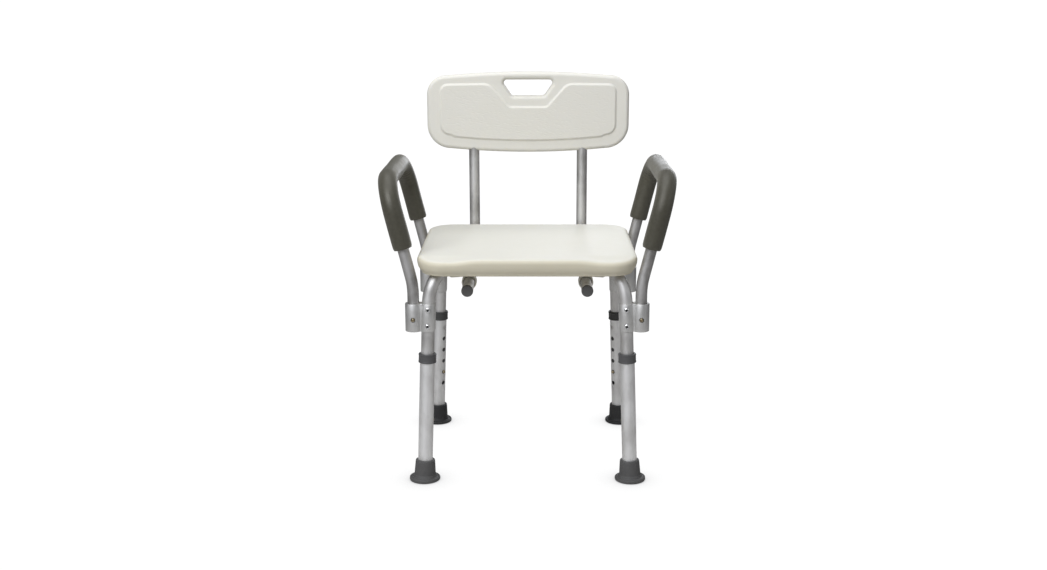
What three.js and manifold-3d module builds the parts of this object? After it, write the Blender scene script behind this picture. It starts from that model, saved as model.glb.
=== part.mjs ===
// A bath and shower chair: moulded seat and backrest on a crossed aluminium tube frame, with height-adjustable
// legs and lift-off padded arms. Millimetres, +Z up, +Y towards the back of the chair.

import * as THREE from 'three';
import { mergeVertices } from 'three/addons/utils/BufferGeometryUtils.js';
import Module from 'manifold-3d';

const wasm = await Module();
wasm.setup();

// ---------------------------------------------------------------- driving dimensions

const GAP = 0.3; // clearance between pieces that touch
const WALL = 1.6; // wall of every aluminium tube
const SIDES = 12; // facets round a tube
const HOLE_SIDES = 8;
const FOOT_SIDES = 20;
const BEND_STEP = THREE.MathUtils.degToRad(18);

// legs and frame: each frame tube lies in a vertical plane through the chair's centre
const FRAME_R = 12.7;
const LEG_R = 14.3;
const FOOT_X = 201;
const FOOT_Y = 173;
const DIAGONAL = Math.atan2(FOOT_Y, FOOT_X);
const FOOT_REACH = Math.hypot(FOOT_X, FOOT_Y);
const SPLAY = Math.atan(0.0475);
const FRAME_TOP = 424; // axis height of the frame tubes under the seat
const FRAME_BEND = 74;
const CROSS_DROP = 26.6; // the lower tube passes this far under the upper one
const INNER_LEG_END = 100; // lower end of the frame tube, inside the extension

// height adjustment
const HOLE_PITCH = 25.4;
const HOLE_COUNT = 6;
const BUTTON_HOLE = 4; // the button stands in the fifth hole from the top
const BUTTON_Z = 117.9;
const HOLE_R = 4.6;
const SCREW_HOLE_R = 2.9;
const RIVET_HOLE_R = 2.7;
const CROSS_HOLE_R = 3.6;
const LEG_TOP = 252;
const LEG_BOTTOM = 6;
const COLLAR = { bottom: 236.5, top: 254.5, radius: 17.4 };

const FOOT = { flange: 30, flangeHeight: 7, topRadius: 18.8, height: 41 };

// seat
const SEAT = {
  halfWidth: 210,
  front: -198,
  back: 181,
  top: 444,
  bottom: 410,
  corner: 55,
  skin: 5,
  rim: 13,
  edge: 9,
};
const SCREW_REACH = 158; // distance of the seat screws from the centre, along each frame tube

// arms
const BRACKET = { z: 326, height: 54, socketX: 217.4, socketR: 16, saddleR: 15.6 };
const ARM_R = 11.1;
const ARM_LEAN = THREE.MathUtils.degToRad(13.8);
const ARM_TOP = 585; // height of the arm tube's axis along its top run
const ARM_BEND = 60;
const ARM_FOOT_Z = 303;
const ARM_KNEE_Z = 388;
const ARM_KNEE_BEND = 150;
const GRIP_R = 18.8;
const GRIP_END_Z = 459;
const ARM_BUTTON_Z = 323;

// back
const BACK_TUBE_R = 11.1;
const BACK_TUBE_X = 115.5;
const BACK_TUBE_Y = 203;
const BACK_TUBE_Z = 371;
const BACK_BEND = 45;
const BACK_TUBE_FRONT = -138;
const BACK_TUBE_TOP = 728;
const BOSS = { front: -57, rear: 145, length: 20, radius: 14.8 };
const BACK_BUTTON_Y = BOSS.rear;
const PANEL = {
  halfWidth: 214.3,
  thickness: 30,
  bottom: 597,
  top: 766.5,
  bow: 8,
  topCorner: 40,
  bottomCorner: 50,
  edge: 5,
};
const HAND_HOLE = { top: 750, bottom: 716, topHalf: 58, bottomHalf: 34, corner: 12 };
const BACK_BOLT_Z = [632, 700];

const LEGS = [
  { name: 'fl', x: -1, y: -1 },
  { name: 'fr', x: 1, y: -1 },
  { name: 'rl', x: -1, y: 1 },
  { name: 'rr', x: 1, y: 1 },
];
const HANDS = [
  { name: 'left', x: -1 },
  { name: 'right', x: 1 },
];

// ---------------------------------------------------------------- materials

const finish = (color, roughness, metalness) =>
  new THREE.MeshStandardMaterial({ color, roughness, metalness });
const materials = {
  ivory: finish(0xe6e4d8, 0.45, 0),
  tube: finish(0xb4b6b8, 0.35, 0.9),
  bracket: finish(0xa9a9a6, 0.45, 0.85),
  foam: finish(0x504c47, 0.9, 0),
  collar: finish(0x4a4a4a, 0.55, 0),
  rubber: finish(0x505050, 0.75, 0),
  brass: finish(0xb9995a, 0.35, 0.9),
  steel: finish(0xc0c0c0, 0.3, 0.95),
};

// ---------------------------------------------------------------- helpers

const vec = (x, y, z) => new THREE.Vector3(x, y, z);
const Z_UP = vec(0, 0, 1);

function solid(geometry) {
  const bare = geometry.index ? geometry.toNonIndexed() : geometry.clone();
  bare.deleteAttribute('normal');
  bare.deleteAttribute('uv');
  const merged = mergeVertices(bare, 1e-4);
  return new wasm.Manifold(
    new wasm.Mesh({
      numProp: 3,
      vertProperties: new Float32Array(merged.attributes.position.array),
      triVerts: new Uint32Array(merged.index.array),
    }),
  );
}

function geometryOf(shape) {
  const mesh = shape.getMesh();
  const geometry = new THREE.BufferGeometry();
  geometry.setAttribute('position', new THREE.BufferAttribute(new Float32Array(mesh.vertProperties), 3));
  geometry.setIndex(new THREE.BufferAttribute(new Uint32Array(mesh.triVerts), 1));
  geometry.computeVertexNormals();
  return geometry;
}

// cuts every tool out of a base solid, or joins every extra onto it
const cut = (base, tools) => tools.reduce((left, tool) => left.subtract(tool), base);
const join = (base, extras) => extras.reduce((whole, extra) => whole.add(extra), base);

// the radius of a faceted bore whose flats clear a round piece
const boreRound = (radius, sides = SIDES) => (radius + GAP) / Math.cos(Math.PI / sides);

// a round bar between two points
function bar(from, to, radius, sides = SIDES) {
  const along = to.clone().sub(from);
  const geometry = new THREE.CylinderGeometry(radius, radius, along.length(), sides);
  geometry.applyQuaternion(new THREE.Quaternion().setFromUnitVectors(vec(0, 1, 0), along.clone().normalize()));
  const middle = from.clone().add(to).multiplyScalar(0.5);
  geometry.translate(middle.x, middle.y, middle.z);
  return geometry;
}

const block = (x0, x1, y0, y1, z0, z1) =>
  new THREE.BoxGeometry(x1 - x0, y1 - y0, z1 - z0).translate((x0 + x1) / 2, (y0 + y1) / 2, (z0 + z1) / 2);

// a profile of [radius, height] pairs, turned about +Z
const turned = (profile, sides = SIDES) =>
  new THREE.LatheGeometry(profile.map(([r, z]) => new THREE.Vector2(r, z)), sides).rotateX(Math.PI / 2);

// moves a geometry made about +Z so that +Z lies along a direction and its origin is at a place
function placed(geometry, at, direction) {
  geometry.applyQuaternion(new THREE.Quaternion().setFromUnitVectors(Z_UP, direction.clone().normalize()));
  return geometry.translate(at.x, at.y, at.z);
}

// an outline given thickness, with square or with rounded edges
const plate = (shape, depth, curveSegments) =>
  new THREE.ExtrudeGeometry(shape, { depth, bevelEnabled: false, curveSegments });
const rounded = (shape, thickness, edge, bevelSegments, curveSegments) =>
  new THREE.ExtrudeGeometry(shape, {
    depth: thickness - 2 * edge,
    bevelThickness: edge,
    bevelSize: edge,
    bevelSegments,
    curveSegments,
  });

// a cutter for a small round hole through one wall of a tube, from the tube's axis outward
const hole = (at, direction, radius) => bar(at, at.clone().addScaledVector(direction, 30), radius, HOLE_SIDES);

// a path of straight runs with round corners; it has one station at each end of a run and several in each bend
class BentPath extends THREE.Curve {
  constructor(corners, radii) {
    super();
    this.stations = [corners[0].clone()];
    this.headings = [corners[1].clone().sub(corners[0]).normalize()];
    for (let i = 1; i < corners.length - 1; i += 1) {
      this.addBend(corners[i - 1], corners[i], corners[i + 1], radii[i - 1]);
    }
    this.stations.push(corners.at(-1).clone());
    this.headings.push(corners.at(-1).clone().sub(corners.at(-2)).normalize());
    this.steps = this.stations.length - 1;
  }

  addBend(before, corner, after, radius) {
    const arriving = corner.clone().sub(before).normalize();
    const leaving = after.clone().sub(corner).normalize();
    const turn = arriving.angleTo(leaving);
    const start = corner.clone().addScaledVector(arriving, -radius * Math.tan(turn / 2));
    const side = leaving.clone().addScaledVector(arriving, -leaving.dot(arriving)).normalize();
    const pieces = Math.max(2, Math.ceil(turn / BEND_STEP));
    for (let k = 0; k <= pieces; k += 1) {
      const angle = (turn * k) / pieces;
      const place = start.clone().addScaledVector(arriving, radius * Math.sin(angle));
      this.stations.push(place.addScaledVector(side, radius * (1 - Math.cos(angle))));
      this.headings.push(
        arriving.clone().multiplyScalar(Math.cos(angle)).addScaledVector(side, Math.sin(angle)).normalize(),
      );
    }
  }

  getPointAt(u) {
    return this.stations[Math.round(u * this.steps)].clone();
  }

  getTangentAt(u) {
    return this.headings[Math.round(u * this.steps)].clone();
  }
}

// a round pipe of one wall thickness along a path
function pipe(path, outer, inner, sides = SIDES) {
  const ring = new THREE.Shape().absarc(0, 0, outer, 0, Math.PI * 2, false);
  ring.holes.push(new THREE.Path().absarc(0, 0, inner, 0, Math.PI * 2, true));
  const settings = { steps: path.steps, curveSegments: sides / 2, extrudePath: path };
  return new THREE.ExtrudeGeometry(ring, settings);
}

const tubeAlong = (corners, radii, radius) => pipe(new BentPath(corners, radii), radius, radius - WALL);

// ---------------------------------------------------------------- where things are

// a point in a leg's own vertical plane: reach out from the centre, and height
const inPlane = (leg, reach, z) =>
  vec(leg.x * Math.cos(DIAGONAL) * reach, leg.y * Math.sin(DIAGONAL) * reach, z);
const legReach = (z) => FOOT_REACH - Math.tan(SPLAY) * z;
const onLeg = (leg, z) => inPlane(leg, legReach(z), z);
const legAxis = (leg) => onLeg(leg, 0).sub(onLeg(leg, 100)).normalize();
// square to the leg's axis, in its plane, pointing at the chair's centre
function inward(leg) {
  const level = vec(leg.y * Math.sin(DIAGONAL), -leg.x * Math.cos(DIAGONAL), 0).normalize();
  return inPlane(leg, -1, 0).applyAxisAngle(level, SPLAY);
}
const outwardY = (leg) => vec(0, leg.y, 0);
const onBackTube = (hand, y) => vec(hand.x * BACK_TUBE_X, y, BACK_TUBE_Z);
const socketFoot = (leg, z) => vec(leg.x * BRACKET.socketX, onLeg(leg, BRACKET.z).y, z);
const legHoles = (leg) =>
  Array.from({ length: HOLE_COUNT }, (_, i) =>
    onLeg(leg, BUTTON_Z + (BUTTON_HOLE - i) * HOLE_PITCH * Math.cos(SPLAY)),
  );

// ---------------------------------------------------------------- snap buttons

// button and folded leaf spring in one piece: the button stands along +Z out of a tube lying along +X
function snapClip(tubeRadius, proud) {
  const inside = (tubeRadius - WALL) * Math.cos(Math.PI / SIDES) - GAP;
  const tip = tubeRadius + proud;
  const base = inside - 3;
  const button = solid(turned([[0, base], [4.1, base], [4.1, tip - 1.4], [2.6, tip], [0, tip]], HOLE_SIDES));
  const leaf = (from, to) => {
    const strip = new THREE.BoxGeometry(from.distanceTo(to) + 0.6, 7, 0.8);
    strip.rotateY(-Math.atan2(to.z - from.z, to.x - from.x));
    return solid(strip.translate((from.x + to.x) / 2, 0, (from.z + to.z) / 2));
  };
  const fold = vec(-34, 0, inside - 8.2);
  const upper = leaf(fold, vec(6, 0, inside - 2.8));
  const lower = leaf(fold, vec(4, 0, 6.4 - inside));
  return geometryOf(join(button, [upper, lower]));
}

// turns a clip so that its button points one way and its leaf runs along the tube
function clipAt(at, outward, alongTube, tubeRadius, proud) {
  const side = new THREE.Vector3().crossVectors(outward, alongTube);
  const pose = new THREE.Matrix4().makeBasis(alongTube, side, outward).setPosition(at);
  return snapClip(tubeRadius, proud).applyMatrix4(pose);
}

// ---------------------------------------------------------------- frame and legs

const screwPlace = (leg, z) => inPlane(leg, SCREW_REACH, z);

function frameTube(leg, opposite, isLower) {
  const end = (l) => [onLeg(l, INNER_LEG_END), inPlane(l, legReach(FRAME_TOP), FRAME_TOP)];
  const joggle = (l) => [inPlane(l, 112, FRAME_TOP), inPlane(l, 50, FRAME_TOP - CROSS_DROP)];
  const corners = isLower
    ? [...end(leg), ...joggle(leg), ...joggle(opposite).reverse(), ...end(opposite).reverse()]
    : [...end(leg), ...end(opposite).reverse()];
  const radii = isLower ? [FRAME_BEND, 60, 60, 60, 60, FRAME_BEND] : [FRAME_BEND, FRAME_BEND];
  const holes = [leg, opposite].flatMap((l) => [
    hole(onLeg(l, BUTTON_Z), inward(l), HOLE_R),
    bar(screwPlace(l, FRAME_TOP - 20), screwPlace(l, FRAME_TOP + 20), SCREW_HOLE_R, HOLE_SIDES),
    ...rivetPlaces(l).map((at) => hole(at, outwardY(l), RIVET_HOLE_R)),
  ]);
  holes.push(bar(vec(0, 0, FRAME_TOP - 60), vec(0, 0, FRAME_TOP + 20), CROSS_HOLE_R, HOLE_SIDES));
  return geometryOf(cut(solid(tubeAlong(corners, radii, FRAME_R)), holes.map(solid)));
}

function legExtension(leg) {
  const path = new BentPath([onLeg(leg, LEG_BOTTOM), onLeg(leg, LEG_TOP)], []);
  const sleeve = solid(pipe(path, LEG_R, boreRound(FRAME_R)));
  return geometryOf(cut(sleeve, legHoles(leg).map((at) => solid(hole(at, inward(leg), HOLE_R)))));
}

function legCollar(leg) {
  const bore = boreRound(FRAME_R);
  const wide = boreRound(LEG_R);
  const step = LEG_TOP + GAP - COLLAR.bottom;
  const height = COLLAR.top - COLLAR.bottom;
  const outside = [[wide, 0], [COLLAR.radius, 0], [COLLAR.radius, height - 2], [COLLAR.radius - 2, height]];
  const inside = [[bore, height], [bore, step], [wide, step], [wide, 0]];
  const ring = turned([...outside, ...inside]);
  return placed(ring, onLeg(leg, COLLAR.bottom), legAxis(leg).negate());
}

function foot(leg) {
  const bore = boreRound(LEG_R, FOOT_SIDES);
  const spare = 6; // cut away below the floor, so that the sole is level under a splayed leg
  const { flange, flangeHeight, topRadius, height } = FOOT;
  const outside = [[0, -spare], [flange, -spare], [flange, flangeHeight - 2], [flange - 2, flangeHeight]];
  const neck = [[topRadius + 2, flangeHeight + 7], [topRadius, height]];
  const socket = [[bore, height], [bore, LEG_BOTTOM - GAP], [0, LEG_BOTTOM - GAP]];
  const profile = [...outside, ...neck, ...socket];
  const body = solid(placed(turned(profile, FOOT_SIDES), onLeg(leg, 0), legAxis(leg).negate()));
  const { x, y } = onLeg(leg, 0);
  return geometryOf(body.subtract(solid(block(x - 50, x + 50, y - 50, y + 50, -30, 0))));
}

function legClip(leg) {
  return clipAt(onLeg(leg, BUTTON_Z), inward(leg), legAxis(leg), FRAME_R, LEG_R - FRAME_R + 3);
}

function crossBolt() {
  const top = FRAME_TOP + FRAME_R + GAP;
  const bottom = FRAME_TOP - CROSS_DROP - FRAME_R - 9;
  return turned([[0, bottom], [3, bottom], [3, top], [7, top], [6, top + 1.6], [0, top + 1.6]], 10);
}

function crossNut() {
  const top = FRAME_TOP - CROSS_DROP - FRAME_R - GAP;
  const thread = boreRound(3, 6);
  const bottom = top - 5.5;
  const flats = [[5.6, bottom], [6.2, bottom + 0.7], [6.2, top]];
  return turned([[thread, bottom], ...flats, [thread, top], [thread, bottom]], 6);
}

function seatScrew(leg) {
  const head = FRAME_TOP - FRAME_R - GAP;
  const screw = turned([[0, -3.2], [3, -3.2], [5, -1.6], [5, 0], [2.5, 0], [2.5, 25], [0, 27]], HOLE_SIDES);
  return placed(screw, screwPlace(leg, head), Z_UP);
}

// ---------------------------------------------------------------- seat

function roundedRectangle(halfWidth, low, high, corner) {
  const shape = new THREE.Shape();
  const quarter = Math.PI / 2;
  shape.absarc(halfWidth - corner, low + corner, corner, -quarter, 0, false);
  shape.absarc(halfWidth - corner, high - corner, corner, 0, quarter, false);
  shape.absarc(-halfWidth + corner, high - corner, corner, quarter, 2 * quarter, false);
  shape.absarc(-halfWidth + corner, low + corner, corner, 2 * quarter, 3 * quarter, false);
  return shape;
}

// the seat's shell, open underneath
function seatShell() {
  const { halfWidth, front, back, top, bottom, corner, skin, rim, edge } = SEAT;
  const outline = (inset) => roundedRectangle(halfWidth - inset, front + inset, back - inset, corner - inset);
  const body = rounded(outline(edge), top - bottom, edge, 2, 4).translate(0, 0, bottom + edge);
  const hollow = plate(outline(rim), top - bottom, 4).translate(0, 0, bottom - skin);
  return solid(body).subtract(solid(hollow));
}

// posts that carry the back tubes under the seat
function backTubeBoss(x, y) {
  const ceiling = SEAT.top - SEAT.skin + 1;
  const half = BOSS.length / 2;
  const ring = bar(vec(x, y - half, BACK_TUBE_Z), vec(x, y + half, BACK_TUBE_Z), BOSS.radius, 16);
  const post = block(x - 10, x + 10, y - half, y + half, BACK_TUBE_Z + 4, ceiling);
  return solid(ring).add(solid(post));
}

// blocks that the frame tubes nest in and are screwed to
function tubeSaddle(leg) {
  const ceiling = SEAT.top - SEAT.skin + 1;
  const saddle = new THREE.BoxGeometry(34, 40, ceiling - FRAME_TOP);
  saddle.rotateZ(Math.atan2(leg.y * Math.sin(DIAGONAL), leg.x * Math.cos(DIAGONAL)));
  const at = screwPlace(leg, (ceiling + FRAME_TOP) / 2);
  return solid(saddle.translate(at.x, at.y, at.z));
}

function seat() {
  const bosses = HANDS.flatMap(({ x }) => [BOSS.front, BOSS.rear].map((y) => backTubeBoss(x * BACK_TUBE_X, y)));
  const body = join(seatShell(), [...bosses, ...LEGS.map(tubeSaddle)]);
  const bores = HANDS.flatMap((hand) => [
    bar(onBackTube(hand, -180), onBackTube(hand, 178), boreRound(BACK_TUBE_R)),
    hole(onBackTube(hand, BACK_BUTTON_Y), vec(0, 0, -1), HOLE_R),
  ]);
  const channels = LEGS.flatMap((leg) => [
    bar(...[-60, 60].map((past) => inPlane(leg, SCREW_REACH + past, FRAME_TOP)), boreRound(FRAME_R)),
    bar(screwPlace(leg, FRAME_TOP), screwPlace(leg, SEAT.top - 4), SCREW_HOLE_R, HOLE_SIDES),
  ]);
  return geometryOf(cut(body, [...bores, ...channels].map(solid)));
}

// ---------------------------------------------------------------- arm brackets and arms

// two rivets go through each bracket's saddle into the upper leg, one above the other
function rivetPlaces(leg) {
  return [-16, 16].map((rise) => onLeg(leg, BRACKET.z + rise));
}

function armBracket(leg) {
  const low = BRACKET.z - BRACKET.height / 2;
  const high = BRACKET.z + BRACKET.height / 2;
  const legLow = onLeg(leg, low);
  const legHigh = onLeg(leg, high);
  const beyond = legAxis(leg).multiplyScalar(4);
  const past = (end, times) => end.clone().addScaledVector(beyond, times);
  const legLine = (times) => [past(legLow, times), past(legHigh, -times)];
  const socket = solid(bar(socketFoot(leg, low), socketFoot(leg, high), BRACKET.socketR, 16));
  const saddle = solid(bar(...legLine(1), BRACKET.saddleR, 16));
  const across = (from, to) => [Math.min(from, to), Math.max(from, to)];
  const web = block(...across(legLow.x, leg.x * BRACKET.socketX), legLow.y - 5, legLow.y + 5, low, high);
  const slit = across(leg.x * 150, legHigh.x - leg.x * 6);
  const seam = block(...slit, legLow.y - 8, legLow.y + 8, low - 9, high + 9);
  const ends = [[high, high + 20], [low - 20, low]].map(([z0, z1]) => block(-260, 260, -220, 220, z0, z1));
  const cuts = [
    bar(socketFoot(leg, low - 9), socketFoot(leg, high + 9), boreRound(ARM_R)),
    bar(...legLine(3), boreRound(FRAME_R)),
    hole(socketFoot(leg, ARM_BUTTON_Z), outwardY(leg), HOLE_R),
    ...rivetPlaces(leg).map((at) => hole(at, outwardY(leg), RIVET_HOLE_R)),
  ];
  return geometryOf(cut(join(socket, [saddle, solid(web)]), [...ends, seam, ...cuts].map(solid)));
}

function rivet(leg, at) {
  const face = BRACKET.saddleR + GAP;
  const inside = FRAME_R - WALL - 1;
  const shank = [[0, inside - 2], [2.3, inside - 2], [2.3, face]];
  const head = [[4.6, face], [3.6, face + 1.3], [0, face + 1.4]];
  return placed(turned([...shank, ...head], HOLE_SIDES), at, outwardY(leg));
}

// the arm tube's corners: up out of the front socket, over the top, and down into the rear socket
function armCorners(hand) {
  const front = { x: hand.x, y: -1 };
  const rear = { x: hand.x, y: 1 };
  const knee = (leg) => socketFoot(leg, ARM_KNEE_Z);
  const rise = vec(hand.x * Math.tan(ARM_LEAN), 0, 1).multiplyScalar(ARM_TOP - ARM_KNEE_Z);
  const post = (leg) => [socketFoot(leg, ARM_FOOT_Z), knee(leg), knee(leg).add(rise)];
  return [...post(front), ...post(rear).reverse()];
}

function armTube(hand) {
  const radii = [ARM_KNEE_BEND, ARM_BEND, ARM_BEND, ARM_KNEE_BEND];
  const holes = LEGS.filter((leg) => leg.x === hand.x).map((leg) =>
    solid(hole(socketFoot(leg, ARM_BUTTON_Z), outwardY(leg), HOLE_R)),
  );
  return geometryOf(cut(solid(tubeAlong(armCorners(hand), radii, ARM_R)), holes));
}

function armGrip(hand) {
  const corners = armCorners(hand).slice(1, 5);
  const share = (GRIP_END_Z - ARM_KNEE_Z) / (ARM_TOP - ARM_KNEE_Z);
  corners[0].lerp(corners[1], share);
  corners[3].lerp(corners[2], share);
  return pipe(new BentPath(corners, [ARM_BEND, ARM_BEND]), GRIP_R, boreRound(ARM_R));
}

function armClip(leg) {
  const proud = BRACKET.socketR - ARM_R + 2.5;
  return clipAt(socketFoot(leg, ARM_BUTTON_Z), outwardY(leg), vec(0, 0, -1), ARM_R, proud);
}

// ---------------------------------------------------------------- back

const boltPlace = (hand, z) => vec(hand.x * BACK_TUBE_X, BACK_TUBE_Y, z);
const boltBore = (hand, z) =>
  bar(boltPlace(hand, z).add(vec(0, -6, 0)), boltPlace(hand, z).add(vec(0, 30, 0)), SCREW_HOLE_R, HOLE_SIDES);

function backTube(hand) {
  const corners = [
    onBackTube(hand, BACK_TUBE_FRONT),
    onBackTube(hand, BACK_TUBE_Y),
    boltPlace(hand, BACK_TUBE_TOP),
  ];
  const holes = [
    hole(onBackTube(hand, BACK_BUTTON_Y), vec(0, 0, -1), HOLE_R),
    ...BACK_BOLT_Z.map((z) => boltBore(hand, z)),
  ];
  return geometryOf(cut(solid(tubeAlong(corners, [BACK_BEND], BACK_TUBE_R)), holes.map(solid)));
}

function backPlug(hand) {
  const inner = (BACK_TUBE_R - WALL) * Math.cos(Math.PI / SIDES) - GAP;
  const head = [[0, -5], [8.5, -5], [BACK_TUBE_R, -3], [BACK_TUBE_R, -GAP]];
  const plug = turned([...head, [inner, -GAP], [inner - 0.5, 18], [0, 18]]);
  return placed(plug, onBackTube(hand, BACK_TUBE_FRONT), vec(0, 1, 0));
}

function backClip(hand) {
  const proud = BOSS.radius - BACK_TUBE_R + 2;
  return clipAt(onBackTube(hand, BACK_BUTTON_Y), vec(0, 0, -1), vec(0, 1, 0), BACK_TUBE_R, proud);
}

function backBolt(hand, z) {
  const face = PANEL.thickness / 2 + GAP;
  const shank = [[0, -5.5], [2.5, -5.5], [2.5, face]];
  const head = [[6, face], [4.5, face + 2.8], [0, face + 2.8]];
  return placed(turned([...shank, ...head], HOLE_SIDES), boltPlace(hand, z), vec(0, 1, 0));
}

// the panel's outline in X and Z: its top and bottom edges bow outward in the middle
function panelOutline(inset) {
  const w = PANEL.halfWidth - inset;
  const top = PANEL.top - PANEL.bow - inset;
  const bottom = PANEL.bottom + PANEL.bow + inset;
  const upper = PANEL.topCorner - inset;
  const lower = PANEL.bottomCorner - inset;
  const quarter = Math.PI / 2;
  const shape = new THREE.Shape();
  shape.absarc(w - lower, bottom + lower, lower, -quarter, 0, false);
  shape.absarc(w - upper, top - upper, upper, 0, quarter, false);
  shape.quadraticCurveTo(0, top + 2 * PANEL.bow, upper - w, top);
  shape.absarc(upper - w, top - upper, upper, quarter, 2 * quarter, false);
  shape.absarc(lower - w, bottom + lower, lower, 2 * quarter, 3 * quarter, false);
  shape.quadraticCurveTo(0, bottom - 2 * PANEL.bow, w - lower, bottom);
  return shape;
}

function handHole() {
  const { top, bottom, topHalf, bottomHalf, corner } = HAND_HOLE;
  const lean = (corner * (topHalf - bottomHalf)) / (top - bottom);
  const shape = new THREE.Shape().moveTo(-bottomHalf + corner, bottom);
  shape.lineTo(bottomHalf - corner, bottom);
  shape.quadraticCurveTo(bottomHalf, bottom, bottomHalf + lean, bottom + corner);
  shape.lineTo(topHalf - lean, top - corner);
  shape.quadraticCurveTo(topHalf, top, topHalf - corner, top);
  shape.lineTo(-topHalf + corner, top);
  shape.quadraticCurveTo(-topHalf, top, -topHalf + lean, top - corner);
  shape.lineTo(-bottomHalf - lean, bottom + corner);
  shape.quadraticCurveTo(-bottomHalf, bottom, -bottomHalf + corner, bottom);
  return plate(shape, 2 * PANEL.thickness, 3);
}

// stands an outline drawn in X and Y up in X and Z, with its depth along +Y
const stoodUp = (geometry, y) => geometry.rotateX(Math.PI / 2).translate(0, y, 0);

function backrest() {
  const { thickness, edge } = PANEL;
  const panel = rounded(panelOutline(edge), thickness, edge, 1, 6);
  const body = solid(stoodUp(panel, BACK_TUBE_Y + thickness / 2 - edge));
  const bores = HANDS.flatMap((hand) => [
    bar(boltPlace(hand, PANEL.bottom - 20), boltPlace(hand, BACK_TUBE_TOP + GAP), boreRound(BACK_TUBE_R)),
    ...BACK_BOLT_Z.map((z) => boltBore(hand, z)),
  ]);
  return geometryOf(cut(body, [stoodUp(handHole(), BACK_TUBE_Y + thickness), ...bores].map(solid)));
}

// ---------------------------------------------------------------- the chair

const chair = new THREE.Group();

function add(name, geometry, material) {
  const mesh = new THREE.Mesh(geometry, material);
  mesh.name = name;
  chair.add(mesh);
}

const [FL, FR, RL, RR] = LEGS;
add('seat', seat(), materials.ivory);
add('frame_tube_lower', frameTube(FL, RR, true), materials.tube);
add('frame_tube_upper', frameTube(FR, RL, false), materials.tube);
add('cross_bolt', crossBolt(), materials.steel);
add('cross_nut', crossNut(), materials.steel);
for (const leg of LEGS) {
  add(`leg_extension_${leg.name}`, legExtension(leg), materials.tube);
  add(`leg_collar_${leg.name}`, legCollar(leg), materials.collar);
  add(`foot_${leg.name}`, foot(leg), materials.rubber);
  add(`leg_snap_${leg.name}`, legClip(leg), materials.brass);
  add(`seat_screw_${leg.name}`, seatScrew(leg), materials.steel);
  add(`arm_bracket_${leg.name}`, armBracket(leg), materials.bracket);
  rivetPlaces(leg).forEach((at, i) => add(`rivet_${leg.name}_${i + 1}`, rivet(leg, at), materials.steel));
  add(`arm_snap_${leg.name}`, armClip(leg), materials.brass);
}
add('backrest', backrest(), materials.ivory);
for (const hand of HANDS) {
  add(`arm_tube_${hand.name}`, armTube(hand), materials.tube);
  add(`arm_grip_${hand.name}`, armGrip(hand), materials.foam);
  add(`back_tube_${hand.name}`, backTube(hand), materials.tube);
  add(`back_plug_${hand.name}`, backPlug(hand), materials.collar);
  add(`back_snap_${hand.name}`, backClip(hand), materials.brass);
  BACK_BOLT_Z.forEach((z, i) => add(`back_bolt_${hand.name}_${i + 1}`, backBolt(hand, z), materials.steel));
}

// the origin is on the floor, in the middle of the chair's box
const box = new THREE.Box3().setFromObject(chair, true);
chair.position.set(-(box.min.x + box.max.x) / 2, -(box.min.y + box.max.y) / 2, -box.min.z);

export default chair;
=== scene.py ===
import math

import bmesh
import bpy
from mathutils import Matrix, Vector


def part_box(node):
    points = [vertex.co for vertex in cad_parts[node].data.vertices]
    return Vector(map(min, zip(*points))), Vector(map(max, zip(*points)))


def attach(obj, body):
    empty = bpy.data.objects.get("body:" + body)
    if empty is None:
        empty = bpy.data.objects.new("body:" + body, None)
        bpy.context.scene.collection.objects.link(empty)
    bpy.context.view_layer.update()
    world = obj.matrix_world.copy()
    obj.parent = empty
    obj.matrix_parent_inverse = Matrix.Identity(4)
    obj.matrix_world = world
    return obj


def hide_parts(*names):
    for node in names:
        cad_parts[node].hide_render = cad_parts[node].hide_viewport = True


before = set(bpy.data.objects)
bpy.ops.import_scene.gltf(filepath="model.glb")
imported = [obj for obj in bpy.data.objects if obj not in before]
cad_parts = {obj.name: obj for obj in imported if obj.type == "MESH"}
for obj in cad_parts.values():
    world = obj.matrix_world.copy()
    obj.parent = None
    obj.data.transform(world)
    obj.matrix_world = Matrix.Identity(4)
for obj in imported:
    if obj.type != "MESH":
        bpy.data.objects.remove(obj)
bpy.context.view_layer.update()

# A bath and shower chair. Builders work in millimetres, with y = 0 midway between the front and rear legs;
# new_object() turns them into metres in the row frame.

# ------------------------ driving dimensions

MM = 0.001
SLIDE_GAP = 0.3
RIM_LIP = 0.35

# tubes
WALL = 1.6
FRAME_R = 12.7
LEG_R = 14.3
ARM_R = 11.1
BACK_TUBE_R = 11.1
BEND_FLATTENING = 0.025

# frame: each frame tube stands in an upright plane through two opposite feet
FOOT_X = 201.0
FOOT_Y = 173.0
DIAGONAL = math.atan2(FOOT_Y, FOOT_X)
FOOT_REACH = math.hypot(FOOT_X, FOOT_Y)
SPLAY = math.atan(0.0475)
FRAME_TOP = 424.0
FRAME_BEND = 74.0
CROSS_DROP = 26.6
CROSS_BEND = 60.0
CROSS_REACH = (112.0, 50.0)
INNER_LEG_END = 100.0

# leg extensions, collars and feet
HOLE_PITCH = 25.4
HOLE_COUNT = 6
BUTTON_HOLE = 4
BUTTON_Z = 117.9
HOLE_R = 4.6
LEG_TOP = 252.0
LEG_BOTTOM = 6.0
COLLAR_BOTTOM = 236.5
COLLAR_TOP = 254.5
COLLAR_R = 17.4
FOOT_HEIGHT = 41.0
FOOT_FLANGE = 30.0
FOOT_TOP_R = 18.8

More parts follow.
